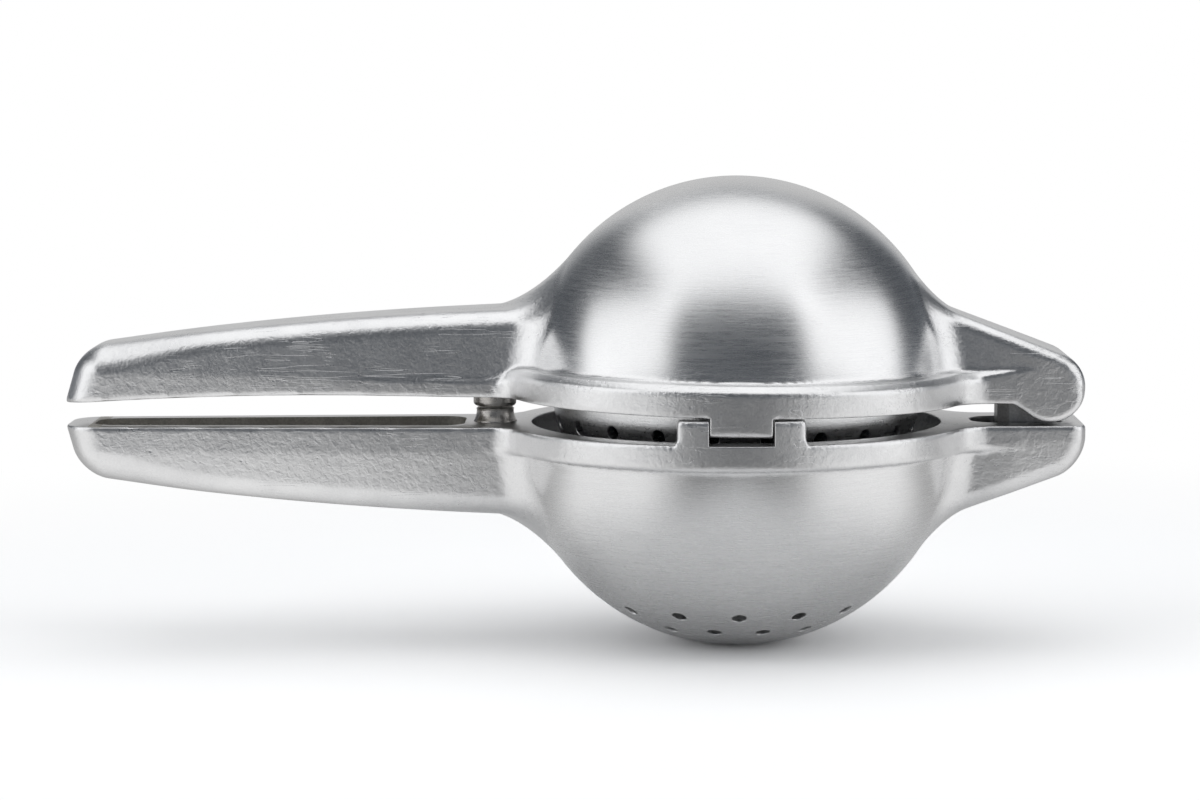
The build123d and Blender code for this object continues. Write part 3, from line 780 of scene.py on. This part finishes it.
def casting(name, half, place, cuts, hinge_cuts):
    """Cast outside of one half, set in its place and cut. The hinge cuts are in rim coordinates."""
    low = (-HANDLE_REACH, -FLANGE_RADIUS, -LOBE_RADIUS)
    high = (LOWER_LUG_REACH, FLANGE_RADIUS, half.ball_height + half.ball_radius)
    mesh = field_mesh(name, lambda x, y, z: casting_field(half, x, y, z), low, high)
    obj = new_object(name, moved(mesh, place))
    cut_out(obj, [moved(mesh, place) for mesh in cuts])
    return cut_out(obj, [moved(mesh, rim_place()) for mesh in hinge_cuts])


def lower_casting():
    cuts = [face_cut(LOWER), teeth_gaps(), hollow(LOWER), pocket(LOWER), stud_bore(), juice_drills()]
    hinge_cuts = [tongue_slot(), cross_bore(*ANCHOR_PIN)]
    return casting("lower_casting_shell", LOWER, lower_place(), cuts, hinge_cuts)


def upper_casting():
    cuts = [face_cut(UPPER), tab_sides(), hollow(UPPER), pocket(UPPER), stud_bore()]
    hinge_cuts = [fork_room(), cross_bore(HINGE_X, HINGE_HEIGHT, PIN_RADIUS)]
    return casting("upper_casting_shell", UPPER, upper_place(), cuts, hinge_cuts)


def press_cup():
    """Perforated cup with the flat rim that seats in the upper mouth."""
    centre = (0, CUP_HEIGHT)
    inner = CUP_RADIUS - CUP_WALL
    rim_low = CUP_SEAT_DEPTH - CUP_WALL
    outer_angle = math.asin((rim_low - CUP_HEIGHT) / CUP_RADIUS)
    inner_angle = math.asin((CUP_SEAT_DEPTH - CUP_HEIGHT) / inner)
    down = -math.pi / 2
    outside = arc(centre, CUP_RADIUS, down, outer_angle, BALL_STEPS)[1:]
    inside = arc(centre, inner, inner_angle, down, BALL_STEPS)[:-1]
    rim = [(CUP_RIM_RADIUS, rim_low), (CUP_RIM_RADIUS, CUP_SEAT_DEPTH)]
    profile = [(0, CUP_HEIGHT - CUP_RADIUS), *outside, *rim, *inside, (0, CUP_HEIGHT - inner)]
    pitch = 2 * math.pi / CUP_HOLE_COUNT
    polar = math.pi / 2 + CUP_HOLE_LATITUDE
    places = [((index + 0.5) * pitch - math.pi / 2, polar) for index in range(CUP_HOLE_COUNT)]
    outline = circle(0, 0, CUP_HOLE_RADIUS, CUP_HOLE_STEPS)
    reach = (inner - CUP_WALL, CUP_RADIUS + CUP_WALL)
    drills = drills_round(CUP_HEIGHT, places, lambda: column("drill", outline, *reach))
    place = upper_place()
    obj = new_object("press_cup_shell", moved(lathe("press_cup_shell", profile), place))
    return cut_out(obj, [moved(drills, place)])


def beveled(mesh, width):
    """The same body with its sharp edges rounded."""
    bm = bmesh.new()
    bm.from_mesh(mesh)
    sharp = [e for e in bm.edges if e.calc_face_angle() > BEVEL_ANGLE]
    bmesh.ops.bevel(bm, geom=sharp, offset=width, segments=3, profile=0.5, affect="EDGES")
    return bmesh_to_mesh(mesh.name, bm)


def tongue_corners():
    """The two upright corners that are cut off the tongue's nose at 45 degrees."""
    nose = HINGE_X - TONGUE_NOSE_REACH
    outer = TONGUE_HALF_THICKNESS + CUT_MARGIN
    inner = TONGUE_HALF_THICKNESS - TONGUE_NOSE_CHAMFER - CUT_MARGIN
    corners = []
    for side in (-1, 1):
        outline = [
            (nose - CUT_MARGIN, side * inner),
            (nose + TONGUE_NOSE_CHAMFER + CUT_MARGIN, side * outer),
            (nose - CUT_MARGIN, side * outer),
        ]
        corners.append(column("corner", outline, -2 * SLOT_DEPTH, 2 * HINGE_HEIGHT))
    return corners


def hinge_tongue():
    """Tongue that stands in the lower slot and carries the hinge pin."""
    over, _ = knuckle_arc(KNUCKLE_RADIUS, TONGUE_NOSE_DROP, 0.0)
    outline = [
        (HINGE_X - TONGUE_NOSE_REACH, -SLOT_DEPTH),
        (HINGE_X - TONGUE_NOSE_REACH, HINGE_HEIGHT - TONGUE_NOSE_DROP),
        *over,
        (HINGE_X + HEEL_REACH, 0),
        (HINGE_X + HEEL_REACH, -SLOT_DEPTH),
    ]
    block = prism("tongue", outline, -TONGUE_HALF_THICKNESS, TONGUE_HALF_THICKNESS)
    obj = new_object("hinge_tongue_body", moved(beveled(block, TONGUE_EDGE_ROUND), rim_place()))
    bores = [
        cross_bore(HINGE_X, HINGE_HEIGHT, PIN_RADIUS + PIN_CLEARANCE, -LUG_HALF_WIDTH),
        cross_bore(*ANCHOR_PIN, -LUG_HALF_WIDTH),
    ]
    return cut_out(obj, [moved(mesh, rim_place()) for mesh in (*tongue_corners(), *bores)])


def cross_pin(name, x, z, radius):
    """Pin across the lug with softened ends, blind at the front."""
    back = LUG_HALF_WIDTH - PIN_BACK_RECESS
    profile = [
        (0, PIN_FRONT),
        (radius - PIN_CHAMFER, PIN_FRONT),
        (radius, PIN_FRONT + PIN_CHAMFER),
        (radius, back - PIN_CHAMFER),
        (radius - PIN_CHAMFER, back),
        (0, back),
    ]
    mesh = lathe(name, profile, BORE_STEPS)
    mesh.transform(Matrix.Translation((x, 0, z)) @ Matrix.Rotation(-math.pi / 2, 4, "X"))
    return new_object(name, moved(mesh, rim_place()))


def stud(name, head, place):
    """Turned stud. The head's profile runs down from z = 0, and its shank stands above."""
    shank = STUD_BORE_RADIUS - STUD_SHANK_CLEARANCE
    profile = [*head, (shank, 0), (shank, STUD_BORE_DEPTH), (0, STUD_BORE_DEPTH)]
    mesh = moved(lathe(name, profile, BALL_STEPS), Matrix.Translation((-STUD_X, 0, 0)))
    return new_object(name, moved(mesh, place))


def lower_stud_head():
    """Head with a thin bead at its end and a foot that flares out to the casting."""
    radius, foot, height = LOWER_STUD_RADIUS, LOWER_STUD_FOOT_RADIUS, LOWER_STUD_HEIGHT
    chamfer = LOWER_STUD_CHAMFER
    head = [(0, -height), (radius - chamfer, -height), (radius, chamfer - height)]
    low, high = LOWER_STUD_BEAD - height, -LOWER_STUD_FOOT_LIP
    waist = radius - LOWER_STUD_WAIST_STEP
    for i in range(STUD_ARC_STEPS + 1):
        share = i / STUD_ARC_STEPS
        out = waist + (foot - waist) * share**LOWER_STUD_FLARE_POWER
        head.append((out, low + (high - low) * share))
    return [*head, (foot, 0)]


def upper_stud_head():
    """Head with a well rounded end."""
    radius, height, soft = UPPER_STUD_RADIUS, UPPER_STUD_HEIGHT, UPPER_STUD_END_ROUND
    turn = arc((radius - soft, soft - height), soft, -math.pi / 2, 0, STUD_ARC_STEPS)
    root = [(radius, -UPPER_STUD_ROOT_HEIGHT), (radius - UPPER_STUD_ROOT_STEP, 0)]
    return [(0, -height), *turn, *root]


# --- Materials ---


def add(tree, kind, inputs=None, **settings):
    """New node with its settings and its inputs, which are values or other nodes' outputs."""
    node = tree.nodes.new(kind)
    for key, value in settings.items():
        setattr(node, key, value)
    for key, value in (inputs or {}).items():
        if isinstance(value, bpy.types.NodeSocket):
            tree.links.new(value, node.inputs[key])
        else:
            node.inputs[key].default_value = value
    return node


# The helpers below add their nodes to the tree of the output that they are given first.


def math_node(operation, first, second=0.0):
    inputs = {0: first, 1: second}
    return add(first.id_data, "ShaderNodeMath", inputs, operation=operation).outputs[0]


def times(first, second):
    return math_node("MULTIPLY", first, second)


def weighted(first, first_share, second, second_share):
    """Sum of two values, each times its share."""
    one, two = times(first, first_share), times(second, second_share)
    return math_node("ADD", one, two)


def lowered(value, by, share):
    """Value less a share of another."""
    return math_node("SUBTRACT", value, times(by, share))


def remap(value, low, high, to_low=0.0, to_high=1.0):
    """Smooth step of value from low..high to to_low..to_high."""
    inputs = {"Value": value, "From Min": low, "From Max": high}
    inputs |= {"To Min": to_low, "To Max": to_high}
    node = add(value.id_data, "ShaderNodeMapRange", inputs, interpolation_type="SMOOTHSTEP")
    return node.outputs["Result"]


def noise(vector, scale, detail=2.0, roughness=0.5, distortion=0.0):
    """Noise with features about 1/scale metres across."""
    inputs = {"Vector": vector, "Scale": scale, "Detail": detail}
    inputs |= {"Roughness": roughness, "Distortion": distortion}
    return add(vector.id_data, "ShaderNodeTexNoise", inputs).outputs["Fac"]


def stretched(vector, turn, scale):
    """Coordinates turned and scaled, for long thin marks."""
    inputs = {"Vector": vector, "Rotation": turn, "Scale": scale}
    return add(vector.id_data, "ShaderNodeMapping", inputs).outputs["Vector"]


def scratches(vector, turn, length, width, share):
    """Thin straight marks: 1 on a mark and 0 elsewhere."""
    fine = (1 / length, 1 / width, 1 / width)
    lines = noise(stretched(vector, turn, fine), 1.0, detail=1.0)
    ridge = math_node("ABSOLUTE", math_node("SUBTRACT", lines, 0.5))
    patch = noise(stretched(vector, turn, (60, 160, 160)), 1.0)
    chosen = remap(patch, 1 - share, 1.08 - share)
    return times(remap(ridge, 0.0, 0.012, 1.0, 0.0), chosen)


def colour_between(factor, dark, light):
    """Mix of two colours by a factor from 0 to 1."""
    mix = add(factor.id_data, "ShaderNodeMix", {"Factor": factor}, data_type="RGBA")
    sockets = {socket.name: socket for socket in mix.inputs if socket.type == "RGBA"}
    sockets["A"].default_value = (*dark, 1)
    sockets["B"].default_value = (*light, 1)
    return next(socket for socket in mix.outputs if socket.type == "RGBA")


def empty_tree(owner):
    """Node tree of a new material or world, without its first nodes."""
    owner.use_nodes = True
    owner.node_tree.nodes.clear()
    return owner.node_tree


def metal_material(name):
    """Empty material with its tree and the object's coordinates."""
    material = bpy.data.materials.new(name)
    tree = empty_tree(material)
    return material, tree, add(tree, "ShaderNodeTexCoord").outputs["Object"]


def metal_shader(tree, colour, rough, normal, more):
    """Metal with these looks and with more inputs by name."""
    inputs = {"Metallic": 1.0, "Base Color": colour, "Roughness": rough, "Normal": normal}
    shader = add(tree, "ShaderNodeBsdfPrincipled", inputs | more)
    add(tree, "ShaderNodeOutputMaterial", {"Surface": shader.outputs["BSDF"]})


def flat_length(parts):
    """Length of the X and Y parts of a vector."""
    tree = parts["X"].id_data
    flat = add(tree, "ShaderNodeCombineXYZ", {"X": parts["X"], "Y": parts["Y"]}).outputs[0]
    return add(tree, "ShaderNodeVectorMath", {0: flat}, operation="LENGTH").outputs["Value"]


def bump(height, distance, strength, edge):
    """Relief of this depth in metres, on edges that look rounded over the last length."""
    soft = add(height.id_data, "ShaderNodeBevel", {"Radius": edge}, samples=8).outputs["Normal"]
    inputs = {"Height": height, "Distance": distance, "Strength": strength, "Normal": soft}
    return add(height.id_data, "ShaderNodeBump", inputs).outputs["Normal"]


def cast_metal():
    """Tumbled cast aluminium: fine orange peel, small pits with painted shade in them, and a few
    handling marks.
    """
    material, tree, where = metal_material("cast_aluminium")
    peel = noise(where, 700, detail=3.0, roughness=0.6, distortion=0.5)
    grain = noise(where, 2200, roughness=0.6)
    cloud = noise(where, 90, detail=3.0, roughness=0.6)
    long_marks = scratches(where, turn=(0.0, 0.1, 0.35), length=0.022, width=0.0011, share=0.46)
    short_marks = scratches(where, turn=(0.2, -0.2, -0.5), length=0.016, width=0.0009, share=0.44)
    marks = math_node("MAXIMUM", long_marks, short_marks)
    pits = add(tree, "ShaderNodeTexVoronoi", {"Vector": where, "Scale": 420.0}, feature="F1")
    pit_depth = remap(pits.outputs["Distance"], 0.05, 0.17, 1.0, 0.0)
    pit_choice = remap(noise(where, 160, detail=1.0), 0.56, 0.66)
    pit = times(pit_depth, pit_choice)
    # The colour is darker in the pits: painted shade in these small recesses, on top of their dent
    # in the relief.
    tone = lowered(weighted(cloud, 0.6, grain, 0.4), pit, 0.25)
    light = remap(tone, 0.3, 0.7)
    colour = colour_between(light, (0.74, 0.74, 0.745), (0.86, 0.86, 0.86))
    rough = weighted(remap(grain, 0.3, 0.7, 0.25, 0.32), 1.0, cloud, 0.06)
    rough = lowered(rough, marks, 0.08)
    relief = lowered(weighted(peel, 0.8, grain, 0.2), pit, 0.3)
    relief = lowered(relief, marks, 0.15)
    metal_shader(tree, colour, rough, bump(relief, 0.00018, 0.6, 0.0005), {})
    return material


def brushed_metal(name, centre_height):
    """Ball faces brushed round and round the vertical axis, with stray scratches."""
    material, tree, where = metal_material(name)
    parts = add(tree, "ShaderNodeSeparateXYZ", {"Vector": where}).outputs
    along = math_node("ARCTAN2", parts["Y"], parts["X"])
    height = math_node("SUBTRACT", parts["Z"], centre_height)
    polar = math_node("ARCTAN2", flat_length(parts), height)
    lines_across = times(polar, 240.0)
    lines_along = times(along, 7.0)
    lines_at = add(tree, "ShaderNodeCombineXYZ", {"X": lines_across, "Y": lines_along}).outputs[0]
    coarse = noise(lines_at, 0.45, detail=3.0, roughness=0.65, distortion=0.1)
    fine = noise(lines_at, 1.6, detail=3.0, roughness=0.7, distortion=0.1)
    cloud = noise(where, 60, detail=3.0, roughness=0.6)
    long_marks = scratches(where, turn=(0.1, 0.5, 0.3), length=0.02, width=0.0008, share=0.42)
    short_marks = scratches(where, turn=(0.3, -0.6, 0.9), length=0.014, width=0.0007, share=0.40)
    marks = math_node("MAXIMUM", long_marks, short_marks)
    lines = weighted(coarse, 0.5, fine, 0.5)
    light = remap(weighted(lines, 0.7, cloud, 0.3), 0.32, 0.68)
    colour = colour_between(light, (0.76, 0.76, 0.765), (0.87, 0.87, 0.87))
    rough = weighted(remap(lines, 0.3, 0.7, 0.20, 0.30), 1.0, cloud, 0.05)
    normal = bump(lowered(lines, marks, 0.3), 0.00004, 0.4, 0.0002)
    tangent = add(tree, "ShaderNodeTangent", direction_type="RADIAL", axis="Z").outputs["Tangent"]
    brushing = {"Anisotropic": 0.6, "Anisotropic Rotation": 0.25, "Tangent": tangent}
    metal_shader(tree, colour, rough, normal, brushing)
    return material


def plain_metal(name, dark, light, low_rough, high_rough, edge, metallic=1.0):
    """Machined or ground metal with fine turning marks."""
    material, tree, where = metal_material(name)
    grain = noise(where, 1800, detail=3.0, roughness=0.6)
    cloud = noise(where, 140, detail=3.0, roughness=0.6)
    turning = noise(stretched(where, (0.0, 0.0, 0.0), (120, 120, 5000)), 1.0)
    tone = remap(weighted(grain, 0.5, cloud, 0.5), 0.35, 0.65)
    colour = colour_between(tone, dark, light)
    relief = weighted(grain, 0.5, turning, 0.5)
    rough = remap(relief, 0.35, 0.65, low_rough, high_rough)
    normal = bump(relief, 0.00006, 0.4, edge)
    metal_shader(tree, colour, rough, normal, {"Metallic": metallic})
    return material


# --- Camera, lights and floor ---


def direction(azimuth, elevation):
    """Unit vector away from the object, in degrees. Azimuth 0 is the front and 90 is +X."""
    a, e = math.radians(azimuth), math.radians(elevation)
    return Vector((math.sin(a) * math.cos(e), -math.cos(a) * math.cos(e), math.sin(e)))


def make_camera():
    """Camera at the front, a little above, with the object's middle right of centre."""
    data = bpy.data.cameras.new("camera")
    data.sensor_width = 36.0
    data.lens = CAMERA_LENS
    data.clip_start, data.clip_end = CAMERA_CLIP
    camera = new_object("camera", data)
    back = direction(CAMERA_AZIMUTH, CAMERA_ELEVATION)
    look = (-back).to_track_quat("-Z", "Y").to_matrix().to_4x4()
    roll = Matrix.Rotation(math.radians(CAMERA_ROLL), 4, "Z")
    place = Matrix.Translation(Vector(CAMERA_TARGET) + back * CAMERA_DISTANCE)
    camera.matrix_world = place @ look @ roll
    bpy.context.scene.camera = camera


def soft_border(share, low_fade, high_fade):
    """0 at both ends of the lamp and 1 between the two fades, which are shares of its length."""
    low = remap(share, 0.0, low_fade)
    high = remap(share, 1 - high_fade, 1.0, 1.0, 0.0)
    return times(low, high)


def softbox(name, azimuth, elevation, distance, width, height, fades, roll=0.0, shift=0.0):
    """Rectangular lamp aimed at the object and then shifted along Y.

    It fades over shares of its width, at both sides, and of its height, below and above.
    """
    data = bpy.data.lights.new(name, "AREA")
    data.shape = "RECTANGLE"
    data.size = width
    data.size_y = height
    data.energy = LAMP_RADIANCE * math.pi * width * height
    data.use_nodes = True
    tree = data.node_tree
    place = add(tree, "ShaderNodeNewGeometry").outputs["Parametric"]
    parts = add(tree, "ShaderNodeSeparateXYZ", {"Vector": place}).outputs
    beside, below, above = fades
    sides = soft_border(parts["X"], beside, beside)
    strength = times(sides, soft_border(parts["Y"], below, above))
    tree.links.new(strength, tree.nodes["Emission"].inputs["Strength"])
    lamp = new_object(name, data)
    away = direction(azimuth, elevation)
    lamp.location = Vector((0, shift, LAMP_AIM_HEIGHT)) + away * distance
    lamp.rotation_mode = "QUATERNION"
    turn = Quaternion((0, 0, 1), math.radians(roll))
    lamp.rotation_quaternion = away.to_track_quat("Z", "Y") @ turn


def make_lamps():
    """One broad lamp overhead and one at each side of the front."""
    softbox("overhead", 0, 90, 0.9, width=1.75, height=1.75, fades=(0.24, 0.3, 0.16), shift=0.07)
    fades = (0.18, 0.12, 0.18)
    softbox("front_left", -69, 24, 1.1, width=1.35, height=1.05, fades=fades, roll=20)
    softbox("front_right", 71.5, 24, 1.1, width=1.5, height=1.05, fades=fades, roll=-20)


def make_world():
    """White to the camera, paler behind the object and dim in front and at the sides."""
    world = bpy.data.worlds.new("studio")
    tree = empty_tree(world)
    ray = add(tree, "ShaderNodeTexCoord").outputs["Generated"]
    parts = add(tree, "ShaderNodeSeparateXYZ", {"Vector": ray}).outputs
    length = math_node("MAXIMUM", flat_length(parts), 0.001)
    behind = math_node("DIVIDE", parts["Y"], length)
    low = remap(parts["Z"], *BACKDROP_TOP_SPAN, 1.0, 0.0)
    middle = remap(behind, *BACKDROP_SIDE_SPAN)
    backdrop = times(middle, low)
    path = add(tree, "ShaderNodeLightPath").outputs
    ahead = remap(parts["Z"], *HORIZON_SPAN, HORIZON_LEVEL, FRONT_LEVEL)
    level = math_node("MAXIMUM", ahead, times(backdrop, BACKDROP_LEVEL))
    strength = math_node("MAXIMUM", level, path["Is Camera Ray"])
    white = math_node("MAXIMUM", backdrop, path["Is Camera Ray"])
    tint = colour_between(white, ROOM_TINT, WHITE)
    background = add(tree, "ShaderNodeBackground", {"Color": tint, "Strength": strength})
    add(tree, "ShaderNodeOutputWorld", {"Surface": background.outputs[0]})
    bpy.context.scene.world = world


def make_floor():
    """Pale floor that keeps the shadow near the object and runs out to white."""
    size = FLOOR_HALF_SIZE
    bm = bmesh.new()
    corners = ((-size, -size), (size, -size), (size, size), (-size, size))
    bm.faces.new([bm.verts.new((x, y, 0.0)) for x, y in corners])
    floor = new_object("floor", bmesh_to_mesh("floor", bm))
    material = bpy.data.materials.new("floor")
    tree = empty_tree(material)
    where = add(tree, "ShaderNodeTexCoord").outputs["Object"]
    away = add(tree, "ShaderNodeVectorMath", {0: where}, operation="LENGTH").outputs["Value"]
    path = add(tree, "ShaderNodeLightPath").outputs
    parts = add(tree, "ShaderNodeSeparateXYZ", {"Vector": where}).outputs
    beside = math_node("ABSOLUTE", parts["X"])
    across = math_node("DIVIDE", beside, math_node("MAXIMUM", away, 0.001))
    front = remap(across, *FLOOR_SIDE_SPAN, FLOOR_FRONT_LEVEL, FLOOR_SIDE_LEVEL)
    back = remap(parts["Y"], *FLOOR_BACK_SPAN)
    levels = {"Factor": back, "A": front, "B": FLOOR_BACK_LEVEL}
    level = add(tree, "ShaderNodeMix", levels).outputs[0]
    level = math_node("MAXIMUM", level, path["Is Camera Ray"])
    far = remap(away, *FLOOR_SEEN_SPAN, FLOOR_LIFT, 1.0)
    seen = times(far, path["Is Camera Ray"])
    sideways = times(away, math_node("ADD", across, 1.0))
    near = remap(sideways, *FLOOR_MIRRORED_SPAN)
    mirrored = times(near, path["Is Glossy Ray"])
    diffuse = add(tree, "ShaderNodeBsdfDiffuse", {"Color": FLOOR_COLOUR}).outputs[0]
    gain = colour_between(path["Is Camera Ray"], (0.0, 0.0, 0.0), (FLOOR_GAIN,) * 3)
    brighter = add(tree, "ShaderNodeBsdfDiffuse", {"Color": gain}).outputs[0]
    lit = add(tree, "ShaderNodeAddShader", {0: diffuse, 1: brighter}).outputs[0]
    glow = add(tree, "ShaderNodeEmission", {"Color": (*WHITE, 1), "Strength": level}).outputs[0]
    share = math_node("MAXIMUM", seen, mirrored)
    mix = add(tree, "ShaderNodeMixShader", {"Fac": share, 1: lit, 2: glow})
    add(tree, "ShaderNodeOutputMaterial", {"Surface": mix.outputs[0]})
    floor.data.materials.append(material)


# --- The object put together ---


def dress(obj, node, body, materials):
    """Gives a piece its materials and its place on the frame."""
    for material in materials:
        obj.data.materials.append(material)
    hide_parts(node)
    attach(obj, body)


def casting_slots(half, x, y, z):
    """Slots of a casting: 0 cast, 1 brushed on the ball, 2 rough inside the handle's pocket."""
    off_ball = np.abs(ball_surface(half, x, y, z))
    brushed = (off_ball < BALL_TOLERANCE) & (z > half.flange_thickness)
    past_root = -x > POCKET_ROOT_X - POCKET_END_MARGIN
    before_end = -x < HANDLE_REACH - POCKET_END_WALL + POCKET_END_MARGIN
    in_width = np.abs(y) < handle_half_width(x) - POCKET_SIDE_WALL + POCKET_SIDE_MARGIN
    under_back = z < handle_back(half, x) - POCKET_FLOOR_WALL + POCKET_FLOOR_MARGIN
    in_pocket = past_root & before_end & in_width & under_back
    return np.where(in_pocket, 2, np.where(brushed, 1, 0))


def shade(obj, half=None, place=None):
    """Smooth shading with crisp edges. A casting's faces get slots by their place in its half."""
    mesh = obj.data
    mesh.shade_smooth()
    mesh.set_sharp_from_angle(angle=SHARP_ANGLE)
    if half is not None:
        middles = np.zeros(3 * len(mesh.polygons))
        mesh.polygons.foreach_get("center", middles)
        back = np.array(place.inverted())
        x, y, z = (middles.reshape(-1, 3) @ back[:3, :3].T + back[:3, 3]).T
        mesh.polygons.foreach_set("material_index", casting_slots(half, x, y, z).astype(np.int32))
    mesh.update()


def build():
    """Makes and places every piece. Metals are given by two colours, roughness and edge round."""
    lower_centre = lower_place() @ Vector((0, 0, LOWER.ball_height))
    upper_centre = upper_place() @ Vector((0, 0, UPPER.ball_height))
    cast = cast_metal()
    bowl_brushed = brushed_metal("bowl_brushed", lower_centre.z)
    dome_brushed = brushed_metal("dome_brushed", upper_centre.z)
    cup_metal = plain_metal("cup_metal", (0.8, 0.8, 0.8), (0.9, 0.9, 0.9), 0.26, 0.36, 0.0003)
    colours = (0.50, 0.48, 0.46), (0.68, 0.66, 0.63)
    stud_metal = plain_metal("stud_metal", *colours, 0.26, 0.36, 0.0002)
    colours = (0.40, 0.40, 0.40), (0.58, 0.58, 0.58)
    tongue_metal = plain_metal("tongue_metal", *colours, 0.38, 0.50, 0.0004)
    colours = (0.52, 0.52, 0.52), (0.66, 0.66, 0.66)
    pin_metal = plain_metal("pin_metal", *colours, 0.22, 0.32, 0.0002)
    colours = (0.55, 0.53, 0.49), (0.78, 0.76, 0.71)
    pocket_skin = plain_metal("pocket_skin", *colours, 0.42, 0.6, 0.0004, metallic=0.45)

    lower = lower_casting()
    shade(lower, LOWER, lower_place())
    dress(lower, "lower_casting", "lower_half", [cast, bowl_brushed, pocket_skin])
    upper = upper_casting()
    shade(upper, UPPER, upper_place())
    dress(upper, "upper_casting", "upper_half", [cast, dome_brushed, pocket_skin])

    cup, tongue = press_cup(), hinge_tongue()
    hinge_pin = cross_pin("hinge_pin_body", HINGE_X, HINGE_HEIGHT, PIN_RADIUS)
    anchor_pin = cross_pin("tongue_anchor_pin_body", *ANCHOR_PIN)
    lower_stud = stud("lower_stop_stud_body", lower_stud_head(), lower_place())
    upper_stud = stud("upper_stop_stud_body", upper_stud_head(), upper_place())
    pieces = (
        (cup, "press_cup", "upper_half", "cup_metal", cup_metal),
        (tongue, "hinge_tongue", "lower_half", "tongue_metal", tongue_metal),
        (hinge_pin, "hinge_pin", "upper_half", "pin_steel", pin_metal),
        (anchor_pin, "tongue_anchor_pin", "lower_half", "pin_steel", pin_metal),
        (lower_stud, "lower_stop_stud", "lower_half", "stud_metal", stud_metal),
        (upper_stud, "upper_stop_stud", "upper_half", "stud_metal", stud_metal),
    )
    for obj, node, body, slot, metal in pieces:
        shade(obj)
        dress(obj, node, body, [metal])


build()
make_floor()
make_world()
make_camera()
make_lamps()

bpy.context.scene.view_settings.view_transform = "Standard"
